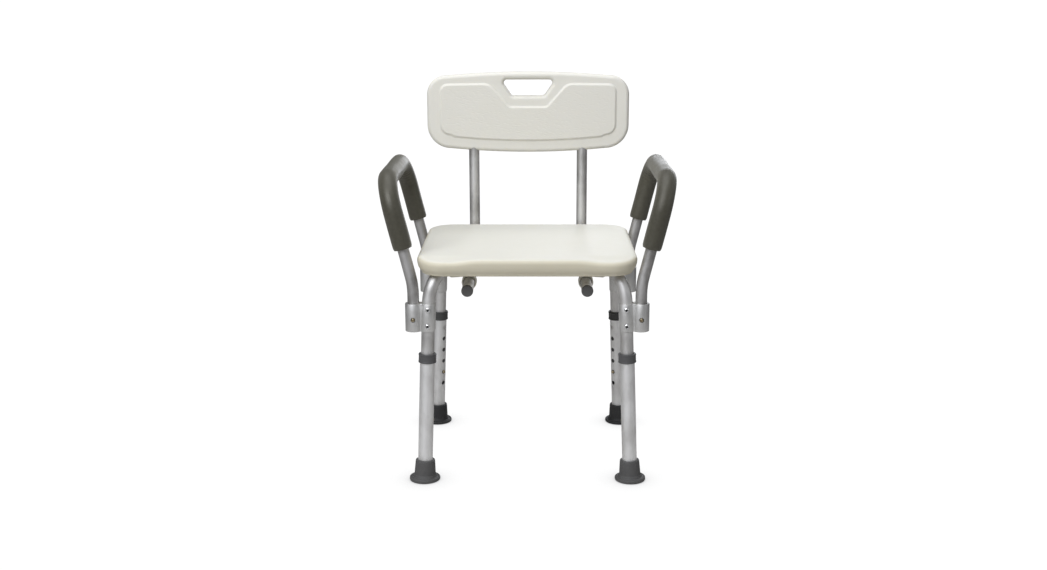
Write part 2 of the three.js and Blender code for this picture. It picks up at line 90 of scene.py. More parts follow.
# snap buttons: how far each stands proud of the tube, socket or boss that it locks
BUTTON_R = 3.6
LEG_BUTTON_PROUD = 3.0
ARM_BUTTON_PROUD = 2.5
BACK_BUTTON_PROUD = 2.0
LEAF_REACH = 34.0
LEAF_HALF_WIDTH = 3.5
LEAF_HALF_THICKNESS = 0.35

# seat
SEAT_HALF = 210.0
SEAT_FRONT = -198.0
SEAT_BACK = 181.0
SEAT_TOP = 444.0
SEAT_BOTTOM = 410.0
SEAT_CORNER = 55.0
SEAT_ROLL = 9.0
SEAT_TUCK = 8.0
SEAT_LIP = 4.0
SEAT_DISH = 1.6
SEAT_CEILING = 439.0
SCREW_REACH = 158.0
THIGH_DROP = 4.4
THIGH_X = (92.0, 144.0)
THIGH_Y = (-148.0, -190.0)

# arm brackets
BRACKET_Z = 326.0
BRACKET_HALF = 27.0
SOCKET_X = 217.4
SOCKET_R = 16.0
SADDLE_R = 15.6
SADDLE_SLIT = math.radians(28)
NECK_ANGLE = math.radians(38)
RIVET_RISE = 16.0

# arms
ARM_LEAN = math.radians(13.8)
ARM_TOP = 585.0
ARM_BEND = 60.0
ARM_FOOT_Z = 303.0
ARM_KNEE_Z = 388.0
ARM_KNEE_BEND = 150.0
GRIP_R = 18.8
GRIP_END_Z = 459.0
ARM_BUTTON_Z = 323.0

# back tubes and the bosses they slide in
BACK_TUBE_X = 115.5
BACK_TUBE_Y = 203.0
BACK_TUBE_Z = 371.0
BACK_BEND = 45.0
BACK_TUBE_FRONT = -138.0
BACK_TUBE_TOP = 728.0
BOSS_FRONT = -57.0
BOSS_REAR = 145.0
BOSS_HALF = 10.0
BOSS_R = 14.8
BACK_BOLT_Z = (632.0, 700.0)
PLUG_R = 11.5

# backrest
PANEL_HALF = 214.3
PANEL_FRONT = 188.0
PANEL_REAR = 218.0
PANEL_TOP = 766.5
PANEL_BOTTOM = 597.0
PANEL_BOW = 8.0
PANEL_LOW_CORNER = 50.0
PANEL_HIGH_CORNER = 40.0
PANEL_ROLL = 8.0
FIELD_RISE = 3.4
FIELD_STEP = 6.0
FIELD_HALF = 186.0
FIELD_TOP = 740.0
FIELD_BOTTOM = 634.0
FIELD_BOW = 11.5
FIELD_CORNER = 22.0
HOLE_TOP = (58.0, 750.0)
HOLE_BOTTOM = (34.0, 716.0)
HOLE_FRONT_SOFT = 8.0
HOLE_REAR_SOFT = 4.5

# (side, end) of each leg and the side of each hand, as signs of x and y
LEGS = {"fl": (-1, -1), "fr": (1, -1), "rl": (-1, 1), "rr": (1, 1)}
REAR = ("rl", "rr")
HANDS = {"left": -1, "right": 1}

# the row frame's y of the chair's own y = 0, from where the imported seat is
seat_low, seat_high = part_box("seat")
SHIFT_Y = (seat_low.y + seat_high.y) / 2 / MM - (SEAT_FRONT + SEAT_BACK) / 2


# ------------------------ mesh helpers

def vec(x, y, z):
    return Vector((x, y, z))


class Shell:
    """Points, faces and texture coordinates of one mesh while it is put together."""

    def __init__(self):
        self.points = []
        self.faces = []
        self.uvs = []

    def ring(self, points):
        start = len(self.points)
        self.points.extend(points)
        return list(range(start, len(self.points)))

    def face(self, corners, uv=None):
        self.faces.append(corners)
        self.uvs.append(uv or [(0.0, 0.0)] * len(corners))

    def bridge(self, low, high, v0=0.0, v1=1.0):
        count = len(low)
        for j in range(count):
            k = (j + 1) % count
            u0, u1 = j / count, (j + 1) / count
            self.face([low[j], low[k], high[k], high[j]], [(u0, v0), (u1, v0), (u1, v1), (u0, v1)])

    def bridge_all(self, rings, lengths=None, closed=False):
        pairs = list(zip(rings, rings[1:]))
        if closed:
            pairs.append((rings[-1], rings[0]))
        for i, (low, high) in enumerate(pairs):
            v0 = lengths[i] if lengths else 0.0
            v1 = lengths[(i + 1) % len(lengths)] if lengths else 1.0
            self.bridge(low, high, v0, v1)

    def loft(self, rings):
        """Walls from ring to ring, closed at both ends."""
        self.bridge_all(rings)
        self.face(rings[0])
        self.face(rings[-1])

    def fill(self, *rings):
        """Flat triangles between closed rings that lie in one plane, the first outside and the others holes."""
        bm = bmesh.new()
        back = {}
        edges = []
        for ring in rings:
            verts = [bm.verts.new(self.points[i]) for i in ring]
            for vert, i in zip(verts, ring):
                back[vert] = i
            edges += [bm.edges.new((verts[k - 1], verts[k])) for k in range(len(verts))]
        bmesh.ops.triangle_fill(bm, use_beauty=True, edges=edges)
        for face in bm.faces:
            self.face([back[v] for v in face.verts])
        bm.free()


def add_object(name, data):
    obj = bpy.data.objects.new(name, data)
    bpy.context.scene.collection.objects.link(obj)
    return obj


def new_object(name, shell, material, sharp=35.0):
    """A smooth-shaded Blender mesh from a shell, with creases where faces meet at more than sharp degrees."""
    mesh = bpy.data.meshes.new(name)
    move = Vector((0, SHIFT_Y, 0))
    mesh.from_pydata([(Vector(p) + move) * MM for p in shell.points], [], shell.faces)
    layer = mesh.uv_layers.new(name="along")
    flat = [uv for face in shell.uvs for uv in face]
    for loop, uv in zip(layer.data, flat):
        loop.uv = uv
    bm = bmesh.new()
    bm.from_mesh(mesh)
    bmesh.ops.remove_doubles(bm, verts=bm.verts, dist=1e-7)
    bmesh.ops.recalc_face_normals(bm, faces=bm.faces)
    bm.to_mesh(mesh)
    bm.free()
    obj = add_object(name, mesh)
    mesh.materials.append(material)
    mesh.shade_smooth()
    mesh.set_sharp_from_angle(angle=math.radians(sharp))
    return obj


def apply_modifiers(obj):
    """Replaces the object's mesh by what its modifiers make of it."""
    bpy.context.view_layer.update()
    graph = bpy.context.evaluated_depsgraph_get()
    done = bpy.data.meshes.new_from_object(obj.evaluated_get(graph))
    obj.modifiers.clear()
    obj.data = done


def weigh_normals(obj):
    """Large flat faces keep flat shading beside their small rounded edges."""
    modifier = obj.modifiers.new("weighted", "WEIGHTED_NORMAL")
    modifier.keep_sharp = True
    modifier.weight = 90
    apply_modifiers(obj)


def drill(obj, cutters, sharp=35.0):
    """Cuts closed shells out of an object."""
    shell = Shell()
    for cutter in cutters:
        base = len(shell.points)
        shell.points += cutter.points
        shell.faces += [[base + i for i in face] for face in cutter.faces]
        shell.uvs += cutter.uvs
    tool = new_object(obj.name + "_cutter", shell, obj.data.materials[0])
    modifier = obj.modifiers.new("cut", "BOOLEAN")
    modifier.operation = "DIFFERENCE"
    modifier.solver = "EXACT"
    modifier.object = tool
    apply_modifiers(obj)
    bpy.data.objects.remove(tool)
    obj.data.shade_smooth()
    obj.data.set_sharp_from_angle(angle=math.radians(sharp))


def show(obj, body, slot, *nodes):
    """The piece rides on a body and stands for CAD nodes, which it hides. The slot is not used."""
    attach(obj, body)
    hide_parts(*nodes)


def add_piece(obj, body):
    """As show(), for a piece that stands for no CAD node of its own."""
    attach(obj, body)


def square_to(direction):
    """Two unit vectors square to a direction and to each other."""
    direction = direction.normalized()
    hint = vec(0, 0, 1) if abs(direction.z) < 0.8 else vec(1, 0, 0)
    side = direction.cross(hint).normalized()
    return side, direction.cross(side).normalized()


def circle(centre, side, up, radius, count):
    """Points round a circle."""
    turns = [2 * math.pi * j / count for j in range(count)]
    return [centre + side * (radius * math.cos(a)) + up * (radius * math.sin(a)) for a in turns]


def corner(before, here, after):
    """The heading into a corner, the way it turns to, and the angle it turns through."""
    arriving = (here - before).normalized()
    leaving = (after - here).normalized()
    side = (leaving - arriving * leaving.dot(arriving)).normalized()
    return arriving, side, arriving.angle(leaving)


def fillet(before, here, after, radius, steps):
    """The points that take the place of a corner."""
    arriving, side, turn = corner(before, here, after)
    if turn < 1e-4:
        return [here]
    start = here - arriving * (radius * math.tan(turn / 2))
    angles = [turn * k / steps for k in range(steps + 1)]
    return [start + arriving * (radius * math.sin(a)) + side * (radius * (1 - math.cos(a))) for a in angles]


def soften(points, steps=4, closed=False):
    """Rounds the corners of a line or an outline. Each point is (x, y) or (x, y, fillet radius)."""
    out = []
    last = len(points) - 1
    for i, point in enumerate(points):
        here = Vector(point[:2])
        if len(point) > 2 and (closed or 0 < i < last):
            before, after = points[i - 1], points[(i + 1) % len(points)]
            out += fillet(Vector(before[:2]), here, Vector(after[:2]), point[2], steps)
        else:
            out.append(here)
    return out


def quarter_round(steps):
    """(rise, run) pairs of a round edge of radius 1, from flat to steep."""
    angles = [math.pi / 2 * k / steps for k in range(steps + 1)]
    return [(1 - math.cos(a), 1 - math.sin(a)) for a in angles]


def offset(outline, distance):
    """A closed outline moved to its left by a distance, which is inward if it runs anticlockwise."""
    moved = []
    for i, here in enumerate(outline):
        arriving = (here - outline[i - 1]).normalized()
        leaving = (outline[(i + 1) % len(outline)] - here).normalized()
        normal = Vector((-(arriving.y + leaving.y), arriving.x + leaving.x))
        normal.normalize()
        lean = max(0.4, normal.dot(Vector((-arriving.y, arriving.x))))
        moved.append(here + normal * (distance / lean))
    return moved


def even(outline, spacing):
    """A closed outline with extra points, so that none are further apart than spacing."""
    out = []
    for i, here in enumerate(outline):
        after = outline[(i + 1) % len(outline)]
        parts = max(1, math.ceil((after - here).length / spacing))
        out += [here.lerp(after, k / parts) for k in range(parts)]
    return out


def turned(profile, base, axis, sides=48, steps=4):
    """A profile of (radius, height) turned about an axis through a base point.

    The profile starts and ends on the axis, or it closes on itself.
    """
    shell = Shell()
    side, up = square_to(axis)
    along = axis.normalized()
    rings = [shell.ring(circle(base + along * p.y, side, up, p.x, sides)) for p in soften(profile, steps)]
    shell.bridge_all(rings)
    return shell


class Path:
    """Stations along straight runs with round corners: place, heading, distance gone, and how much it bends.

    spacing puts extra stations along the straight runs.
    """

    def __init__(self, corners, radii, step=math.radians(4), spacing=math.inf):
        self.places = []
        self.headings = []
        self.bends = []
        self.add(corners[0], corners[1] - corners[0])
        for before, here, after, radius in zip(corners, corners[1:], corners[2:], radii):
            arriving, side, turn = corner(before, here, after)
            start = here - arriving * (radius * math.tan(turn / 2))
            self.run_to(start, arriving, spacing)
            pieces = max(4, math.ceil(turn / step))
            for k in range(pieces + 1):
                a = turn * k / pieces
                place = start + arriving * (radius * math.sin(a)) + side * (radius * (1 - math.cos(a)))
                heading = arriving * math.cos(a) + side * math.sin(a)
                toward = side * math.cos(a) - arriving * math.sin(a)
                self.add(place, heading, math.sin(math.pi * k / pieces) * min(1.0, turn), toward)
        self.run_to(corners[-1], corners[-1] - corners[-2], spacing)
        self.add(corners[-1], corners[-1] - corners[-2])
        self.lengths = [0.0]
        for a, b in zip(self.places, self.places[1:]):
            self.lengths.append(self.lengths[-1] + (b - a).length)
        # a side and an up vector at each station, carried along without twisting
        self.frames = [square_to(self.headings[0])]
        for before, here in zip(self.headings, self.headings[1:]):
            side = (before.rotation_difference(here) @ self.frames[-1][0]).normalized()
            side = (side - here * side.dot(here)).normalized()
            self.frames.append((side, here.cross(side)))

    def add(self, place, heading, bend=0.0, toward=None):
        self.places.append(place.copy())
        self.headings.append(heading.normalized())
        self.bends.append((bend, toward))

    def run_to(self, end, heading, spacing):
        start = self.places[-1]
        parts = max(1, round((end - start).length / spacing))
        for k in range(1, parts):
            self.add(start.lerp(end, k / parts), heading)

    def spoke(self, i, angle):
        side, up = self.frames[i]
        return side * math.cos(angle) + up * math.sin(angle)

    def facing(self, i, angle):
        """How much the path bends at a station, and how far a spoke there points into the bend."""
        bend, toward = self.bends[i]
        return bend, self.spoke(i, angle).dot(toward) if bend else 0.0


def sweep(path, outer, inner, sides=48, lip=RIM_LIP, radius_at=None):
    """A pipe along a path, with softened rims. radius_at(i, angle) may add to the outer radius."""
    shell = Shell()
    angles = [2 * math.pi * j / sides for j in range(sides)]
    last = len(path.places) - 1
    shifts = [lip] + [0.0] * (last - 1) + [-lip]

    def ring(i, radius, shift=0.0, extra=None):
        centre = path.places[i] + path.headings[i] * shift
        radii = [radius + (extra(i, a) if extra else 0.0) for a in angles]
        return shell.ring([centre + path.spoke(i, a) * r for a, r in zip(angles, radii)])

    rings = [ring(0, inner + lip), ring(0, outer - lip)]
    rings += [ring(i, outer, shifts[i], radius_at) for i in range(last + 1)]
    rings += [ring(last, outer - lip), ring(last, inner + lip)]
    rings += [ring(i, inner, shifts[i]) for i in range(last, -1, -1)]
    lengths = [length * MM for length in path.lengths]
    shell.bridge_all(rings, [0.0, 0.0] + lengths + lengths[-1:] * 2 + lengths[::-1], closed=True)
    return shell


def rod(start, end, radius, sides=40):
    """A plain closed cutter between two points."""
    shell = Shell()
    side, up = square_to(end - start)
    low = shell.ring(circle(start, side, up, radius, sides))
    high = shell.ring(circle(end, side, up, radius, sides))
    shell.loft([low, high])
    return shell


# ------------------------ where things are

def in_plane(leg, reach, z):
    """A point in a leg's own upright plane through the chair's centre."""
    x, y = LEGS[leg]
    return vec(x * math.cos(DIAGONAL) * reach, y * math.sin(DIAGONAL) * reach, z)


def leg_reach(z):
    """How far a leg's axis is from the chair's centre at a height."""
    return FOOT_REACH - math.tan(SPLAY) * z


def on_leg(leg, z):
    return in_plane(leg, leg_reach(z), z)


def leg_axis(leg):
    """The way down a leg."""
    return (on_leg(leg, 0) - on_leg(leg, 100)).normalized()


def inward(leg):
    """Square to a leg, towards the chair's centre."""
    level = in_plane(leg, -1, 0)
    axis = leg_axis(leg)
    return (level - axis * level.dot(axis)).normalized()


def outward_y(leg):
    return vec(0, LEGS[leg][1], 0)


def socket(leg, z):
    """A point on the axis of a leg's arm socket."""
    return vec(LEGS[leg][0] * SOCKET_X, on_leg(leg, BRACKET_Z).y, z)


def on_back_tube(hand, y):
    return vec(HANDS[hand] * BACK_TUBE_X, y, BACK_TUBE_Z)


def on_back_post(hand, z):
    """A point on the axis of a back tube's upright part."""
    return vec(HANDS[hand] * BACK_TUBE_X, BACK_TUBE_Y, z)


# ------------------------ materials

class Tree:
    """A node tree, and short ways to build it."""

    def __init__(self, owner):
        owner.use_nodes = True
        self.nodes = owner.node_tree.nodes
        self.links = owner.node_tree.links

    def put(self, node, **values):
        """Sets a node's inputs by name, each to a value or to another node's output."""
        for key, value in values.items():
            entry = node.inputs[key.replace("_", " ")]
            if isinstance(value, bpy.types.NodeSocket):
                self.links.new(value, entry)
            elif entry.type == "RGBA":
                entry.default_value = (*value, 1)
            else:
                entry.default_value = value
        return node

    def add(self, kind, **values):
        return self.put(self.nodes.new("ShaderNode" + kind), **values)

    def choose(self, factor, first, second):
        """Mixes two shaders."""
        node = self.add("MixShader", Fac=factor)
        self.links.new(first, node.inputs[1])
        self.links.new(second, node.inputs[2])
        return node.outputs["Shader"]


class Surface(Tree):
    """A Principled material and the small steps its node tree is built from."""

    def __init__(self, name, color, roughness, metallic=0.0, **fixed):
        self.material = bpy.data.materials.new(name)
        super().__init__(self.material)
        self.shader = self.nodes["Principled BSDF"]
        self.put(self.shader, Base_Color=color, Roughness=roughness, Metallic=metallic, **fixed)
        self.height = None

    def coordinates(self, stretch=(1, 1, 1), uv=False):
        source = self.add("TexCoord").outputs["UV" if uv else "Object"]
        return self.add("Mapping", Vector=source, Scale=stretch).outputs["Vector"]

    def noise(self, scale, detail=3.0, stretch=(1, 1, 1), uv=False):
        place = self.coordinates(stretch, uv)
        return self.add("TexNoise", Vector=place, Scale=scale, Detail=detail).outputs["Fac"]

    def cells(self, scale, stretch=(1, 1, 1)):
        return self.add("TexVoronoi", Vector=self.coordinates(stretch), Scale=scale).outputs["Distance"]

    def ramp(self, value, low, high, at=(0.3, 0.7)):
        """Maps a value between two numbers, over a range of it."""
        node = self.add("MapRange", Value=value, From_Min=at[0], From_Max=at[1], To_Min=low, To_Max=high)
        return node.outputs["Result"]

    def mix(self, factor, first, second):
        """Mixes two colours, each given as three numbers or as another node's output."""
        node = self.add("Mix")
        node.data_type = "RGBA"
        return self.put(node, Factor=factor, A=first, B=second).outputs["Result"]

    def facing_up(self, low, high):
        """0 where the surface's normal rises less than low, 1 where it rises more than high."""
        split = self.add("SeparateXYZ", Vector=self.add("NewGeometry").outputs["Normal"])
        return self.ramp(split.outputs["Z"], 0, 1, (low, high))

    def color(self, output):
        self.put(self.shader, Base_Color=output)

    def roughness(self, output):
        self.put(self.shader, Roughness=output)

    def bump(self, output, distance, strength):
        """Adds a relief on top of those already there."""
        node = self.add("Bump", Height=output, Distance=distance, Strength=strength)
        if self.height is not None:
            self.put(node, Normal=self.height)
        self.height = node.outputs["Normal"]
        self.put(self.shader, Normal=self.height)


# One ivory plastic in lit and shaded copies: the panel's tones are painted a little lighter than the seat's,
# for the light that falls on each.
PANEL_LIT_TONES = ((0.762, 0.738, 0.648), (0.787, 0.763, 0.683))
SEAT_SHADED_TONES = ((0.72, 0.7, 0.605), (0.745, 0.725, 0.64))
# painted shade: a darker, warmer copy of the seat's tones for its sides
SEAT_SIDE_SHADE_TONES = ((0.635, 0.585, 0.445), (0.66, 0.615, 0.48))


def moulded_plastic(name, tones, dashes=False, painted_side_shade=False):
    """Warm ivory polyethylene with a fine moulded grain. The backrest's field has short level dashes in it.

    The seat's sides, where its surface faces less upward, are painted a darker, warmer tone as shade, and its
    top keeps the lighter tone.
    """
    s = Surface(name, (0.74, 0.72, 0.62), 0.56, Specular_IOR_Level=0.35, Subsurface_Weight=0.06,
                Subsurface_Radius=(0.006, 0.005, 0.003), Subsurface_Scale=1.0)
    tone = s.mix(s.noise(9, 4), *tones)
    if painted_side_shade:
        # painted shade on the seat's sides, where the surface turns away from up
        painted_shade_tone = s.mix(s.noise(12, 4), *SEAT_SIDE_SHADE_TONES)
        tone = s.mix(s.facing_up(0.6, 1.0), painted_shade_tone, tone)
    s.color(tone)
    s.roughness(s.ramp(s.noise(60, 3), 0.52, 0.62))
    s.bump(s.noise(14, 2), 0.0011, 0.35)
    s.bump(s.noise(900, 3), 0.00012, 0.5)
    if dashes:
        s.bump(s.ramp(s.cells(340, (0.28, 1, 1)), 0, 1, (0.15, 0.45)), 0.00028, 0.55)
    return s.material


def anodised_tube(name, light, dark, dulled):
    """Satin drawn aluminium: fine streaks along the tube, and duller patches at random."""
    s = Surface(name, light, 0.45, 1.0)
    streaks = s.noise(1.0, 4, (220, 6, 1), uv=True)
    patches = s.ramp(s.noise(26, 5, (1, 1, 0.6)), 0, 0.8, (0.48, 0.7))
    s.color(s.mix(patches, s.mix(s.ramp(streaks, 0, 1), dark, light), dulled))
    s.roughness(s.ramp(s.noise(30, 4), 0.5, 0.63))
    s.bump(streaks, 0.00004, 0.6)
    return s.material


def bracket_metal():
    """Extruded aluminium, tumbled to a grey satin, with faint lines down it."""
    s = Surface("bracket_aluminium", (0.52, 0.52, 0.505), 0.5, 1.0)
    s.color(s.mix(s.noise(55, 5), (0.6, 0.595, 0.575), (0.69, 0.685, 0.665)))
    s.roughness(s.ramp(s.noise(90, 4), 0.5, 0.64))
    s.bump(s.noise(700, 3, (1, 1, 0.12)), 0.00006, 0.7)
    return s.material


def grip_foam():
    """Closed-cell foam: open-looking skin pores and a soft uneven surface."""
    s = Surface("grip_foam", (0.066, 0.063, 0.052), 0.45, Specular_IOR_Level=0.5, Sheen_Weight=0.25,
                Sheen_Roughness=0.5, Sheen_Tint=(0.9, 0.87, 0.77), Specular_Tint=(1.0, 0.97, 0.88))
    s.color(s.mix(s.noise(160, 5), (0.046, 0.043, 0.031), (0.077, 0.072, 0.052)))
    s.roughness(s.ramp(s.noise(40, 3), 0.4, 0.52))
    s.bump(s.noise(28, 2), 0.0006, 0.4)
    s.bump(s.ramp(s.cells(1600), 0, 1, (0.0, 0.5)), 0.0001, 0.4)
    return s.material


def dark_moulding(name, color, roughness, grain):
    """Dark plastic or rubber with a moulded grain; a higher grain number is finer."""
    s = Surface(name, color, roughness, Specular_IOR_Level=0.35)
    s.color(s.mix(s.noise(45, 4), tuple(c * 0.85 for c in color), tuple(c * 1.15 for c in color)))
    s.roughness(s.ramp(s.noise(70, 3), roughness - 0.07, roughness + 0.08))
    s.bump(s.noise(grain, 3), 0.00012, 0.6)
    return s.material


def small_metal(name, light, dark, roughness):
    """Small turned or pressed metal parts, lightly tarnished in spots."""
    s = Surface(name, light, roughness, 1.0)
    s.color(s.mix(s.noise(420, 4), dark, light))
    s.roughness(s.ramp(s.noise(300, 3), roughness - 0.08, roughness + 0.1))
    s.bump(s.noise(900, 2), 0.00003, 0.5)
    return s.material


def floor_paper():
    """White studio paper, so over-exposed that the camera sees only the soft shadows round the feet.

    Elsewhere the camera looks through it to the white room, so a leg let down past it still shows. The light
    that it throws back fades away from the chair.
    """
    s = Surface("studio_floor", (0.8, 0.8, 0.8), 0.8)
    away = s.add("VectorMath")
    away.operation = "DISTANCE"
    away.inputs[1].default_value = (0, -0.3, 0)
    s.links.new(s.coordinates(), away.inputs[0])
    fade = s.ramp(away.outputs["Value"], 0, 1, (0.5, 1.5))
    s.color(s.mix(fade, (0.64, 0.625, 0.6), (0.2, 0.195, 0.185)))
    contact = s.add("AmbientOcclusion", Distance=0.14)
    contact.samples = 8
    openness = s.ramp(contact.outputs["AO"], 0, 1, (0.35, 0.99))
    shade = s.add("BsdfTransparent", Color=s.mix(openness, (0.5, 0.5, 0.51), (1, 1, 1)))
    clear = s.add("BsdfTransparent")
    ray = s.add("LightPath")
    bounced = s.choose(ray.outputs["Is Shadow Ray"], s.shader.outputs["BSDF"], clear.outputs["BSDF"])
    result = s.choose(ray.outputs["Is Camera Ray"], bounced, shade.outputs["BSDF"])
    s.put(s.nodes["Material Output"], Surface=result)
    return s.material


ivory = moulded_plastic("ivory_plastic", PANEL_LIT_TONES)
ivory_field = moulded_plastic("ivory_field", PANEL_LIT_TONES, dashes=True)
ivory_seat = moulded_plastic("ivory_seat", SEAT_SHADED_TONES, painted_side_shade=True)
# One aluminium in three brightnesses, painted for the light on each: the leg tubes lighter for the floor's
# reflection, the frame and back tubes a little darker, and the arm tubes much darker, as painted shade.
leg_tube_lit_metal = anodised_tube("leg_tube_lit_metal", (0.88, 0.875, 0.86), (0.81, 0.805, 0.79), (0.62, 0.61, 0.59))
frame_tube_dimmed_metal = anodised_tube("frame_tube_dimmed_metal", (0.79, 0.78, 0.76), (0.71, 0.7, 0.68), (0.44, 0.43, 0.41))
arm_tube_shaded_metal = anodised_tube("arm_tube_painted_shade", (0.6, 0.59, 0.575), (0.52, 0.51, 0.495), (0.23, 0.22, 0.2))
bracket_finish = bracket_metal()
foam = grip_foam()
collar_plastic = dark_moulding("collar_plastic", (0.085, 0.084, 0.083), 0.5, 500)
foot_rubber = dark_moulding("foot_rubber", (0.086, 0.084, 0.081), 0.68, 350)
plug_plastic = dark_moulding("plug_plastic", (0.12, 0.118, 0.114), 0.6, 500)
# painted shade: darker copies of the collar plastic and foot rubber for the rear legs, also used for the
# sleeves behind the height holes
painted_shade_plastic = dark_moulding("collar_plastic_shaded", (0.059, 0.059, 0.0565), 0.5, 500)
painted_shade_rubber = dark_moulding("foot_rubber_shaded", (0.028, 0.028, 0.0275), 0.62, 350)
brass = small_metal("button_brass", (0.5, 0.42, 0.28), (0.26, 0.215, 0.14), 0.28)
zinc = small_metal("zinc_plate", (0.85, 0.85, 0.84), (0.7, 0.7, 0.69), 0.3)
# partly painted shade: near-black steel for the mandrel ends, darker than bare steel for the shade in the
# rivets' recesses
mandrel_steel_and_shade = small_metal("mandrel_steel_and_shade", (0.09, 0.09, 0.09), (0.045, 0.045, 0.045), 0.4)


# ------------------------ frame tubes and legs

def flattened(path, radius):
    """Bent tube is a little narrower in the plane of the bend."""

    def extra(i, angle):
        bend, facing = path.facing(i, angle)
        return -radius * BEND_FLATTENING * bend * facing ** 2

    return extra


def bare_tube(name, corners, radii, radius, metal):
    path = Path(corners, radii)
    shell = sweep(path, radius, radius - WALL, radius_at=flattened(path, radius))
    return new_object(name, shell, metal)


def button_bore(at, outward):
    """The cutter for a snap button's hole, from inside a tube to well outside it."""
    return rod(at + outward * 6, at + outward * 20, HOLE_R)


def frame_end(leg):
    """Up inside a leg to the corner where its frame tube turns in under the seat."""
    return [on_leg(leg, INNER_LEG_END), in_plane(leg, leg_reach(FRAME_TOP), FRAME_TOP)]


def frame_dip(leg):
    """Down under the other frame tube, on one leg's side of the crossing."""
    start, end = CROSS_REACH
    return [in_plane(leg, start, FRAME_TOP), in_plane(leg, end, FRAME_TOP - CROSS_DROP)]


def frame_tube(name, leg, opposite, dips):
    corners = frame_end(leg) + frame_end(opposite)[::-1]
    radii = [FRAME_BEND] * 2
    if dips:
        corners[2:2] = frame_dip(leg) + frame_dip(opposite)[::-1]
        radii[1:1] = [CROSS_BEND] * 4
    tube = bare_tube("frame_" + name, corners, radii, FRAME_R, frame_tube_dimmed_metal)
    drill(tube, [button_bore(on_leg(end, BUTTON_Z), inward(end)) for end in (leg, opposite)])
    show(tube, "chair_frame", "tube_aluminium", "frame_tube_" + name)


def frame_tubes():
    frame_tube("lower", "fl", "rr", True)
    frame_tube("upper", "fr", "rl", False)


def height_hole(leg, steps):
    """The middle of the height hole that is so many steps above the one the button is in."""
    return on_leg(leg, BUTTON_Z + steps * (HOLE_PITCH * math.cos(SPLAY)))


def leg_extension(leg):
    """The outer leg tube, with its row of height holes facing the chair's centre."""
    path = Path([on_leg(leg, LEG_BOTTOM), on_leg(leg, LEG_TOP)], [])
    tube = new_object("leg_tube_" + leg, sweep(path, LEG_R, FRAME_R + SLIDE_GAP, sides=64), leg_tube_lit_metal)
    drill(tube, [button_bore(height_hole(leg, BUTTON_HOLE - i), inward(leg)) for i in range(HOLE_COUNT)])
    show(tube, "leg_" + leg, "tube_aluminium", "leg_extension_" + leg)


def leg_collar(leg):
    """A plain bush with a lip at each end, over the top of the extension."""
    height = COLLAR_TOP - COLLAR_BOTTOM
    bore = FRAME_R + SLIDE_GAP
    seat_at = LEG_TOP - COLLAR_BOTTOM
    profile = [
        (LEG_R + 0.2, 0), (COLLAR_R - 0.2, 0, 0.8), (COLLAR_R, 2.4, 0.6), (COLLAR_R - 0.5, 3.2, 0.4),
        (COLLAR_R - 0.5, height - 4, 0.4), (COLLAR_R, height - 3.2, 0.6), (COLLAR_R - 0.3, height - 0.8, 0.8),
        (bore + 1.2, height, 0.6), (bore, height - 0.7), (bore, seat_at), (LEG_R + 0.2, seat_at),
        (LEG_R + 0.2, 0),
    ]
    shell = turned(profile, on_leg(leg, COLLAR_BOTTOM), -leg_axis(leg), 64)
    # the rear collars are painted darker, as shade
    plastic = painted_shade_plastic if leg in REAR else collar_plastic
    show(new_object("collar_" + leg, shell, plastic), "leg_" + leg, "collar_plastic", "leg_collar_" + leg)


def hole_shadow_sleeve(leg):
    """A thin dark sleeve between the two tubes of a leg: painted shade, seen through the unused height holes.
    """
    low = BUTTON_Z + HOLE_PITCH / 2
    length = LEG_TOP - 2 - low
    inner, outer = FRAME_R + 0.08, FRAME_R + 0.22
    profile = [(inner, 0), (outer, 0), (outer, length), (inner, length), (inner, 0)]
    shell = turned(profile, on_leg(leg, low), -leg_axis(leg), 48)
    dark_sleeve_shade = new_object("liner_" + leg, shell, painted_shade_plastic)
    drill(dark_sleeve_shade, [button_bore(height_hole(leg, BUTTON_HOLE), inward(leg))])
    add_piece(dark_sleeve_shade, "leg_" + leg)


def foot(leg):
    """A rubber tip with a wide flange. Its sole is level although the leg splays, and has two grooves."""
    shell = Shell()
    axis = -leg_axis(leg)
    side, up = square_to(axis)
    sole = [
        (0, 0), (9, 0, 0.4), (10, 1.2, 0.4), (12, 1.2, 0.4), (13, 0, 0.4),
        (19, 0, 0.4), (20, 1.2, 0.4), (22, 1.2, 0.4), (23, 0, 0.4),
    ]
    flange = [
        (FOOT_FLANGE - 0.9, 0, 0.9), (FOOT_FLANGE, 2.4, 1.2), (FOOT_FLANGE - 0.3, 5.6, 1.4),
        (FOOT_FLANGE - 2.6, 6.8, 0.9), (FOOT_FLANGE - 3.6, 6.0, 0.8),
    ]
    cup = [
        (FOOT_TOP_R + 4.4, 6.9, 2.0), (FOOT_TOP_R + 2.0, 12.0, 4.0), (FOOT_TOP_R + 0.3, FOOT_HEIGHT - 4, 1.0),
        (FOOT_TOP_R - 0.3, FOOT_HEIGHT - 0.8, 0.9), (LEG_R + 1.0, FOOT_HEIGHT, 0.6),
        (LEG_R + 0.2, FOOT_HEIGHT - 0.8), (LEG_R + 0.2, LEG_BOTTOM - 0.3), (0, LEG_BOTTOM - 0.3),
    ]
    level_to = 9.0
    rings = []
    for point in soften(sole + flange + cup, 5):
        ring = circle(on_leg(leg, 0) + axis * point.y, side, up, point.x, 72)
        level = max(0.0, 1.0 - point.y / level_to)
        rings.append(shell.ring([vec(p.x, p.y, p.z * (1 - level) + point.y * level) for p in ring]))
    shell.bridge_all(rings)
    # the rear feet are painted darker, as shade
    rubber = painted_shade_rubber if leg in REAR else foot_rubber
    show(new_object("foot_tip_" + leg, shell, rubber), "leg_" + leg, "foot_rubber", "foot_" + leg)


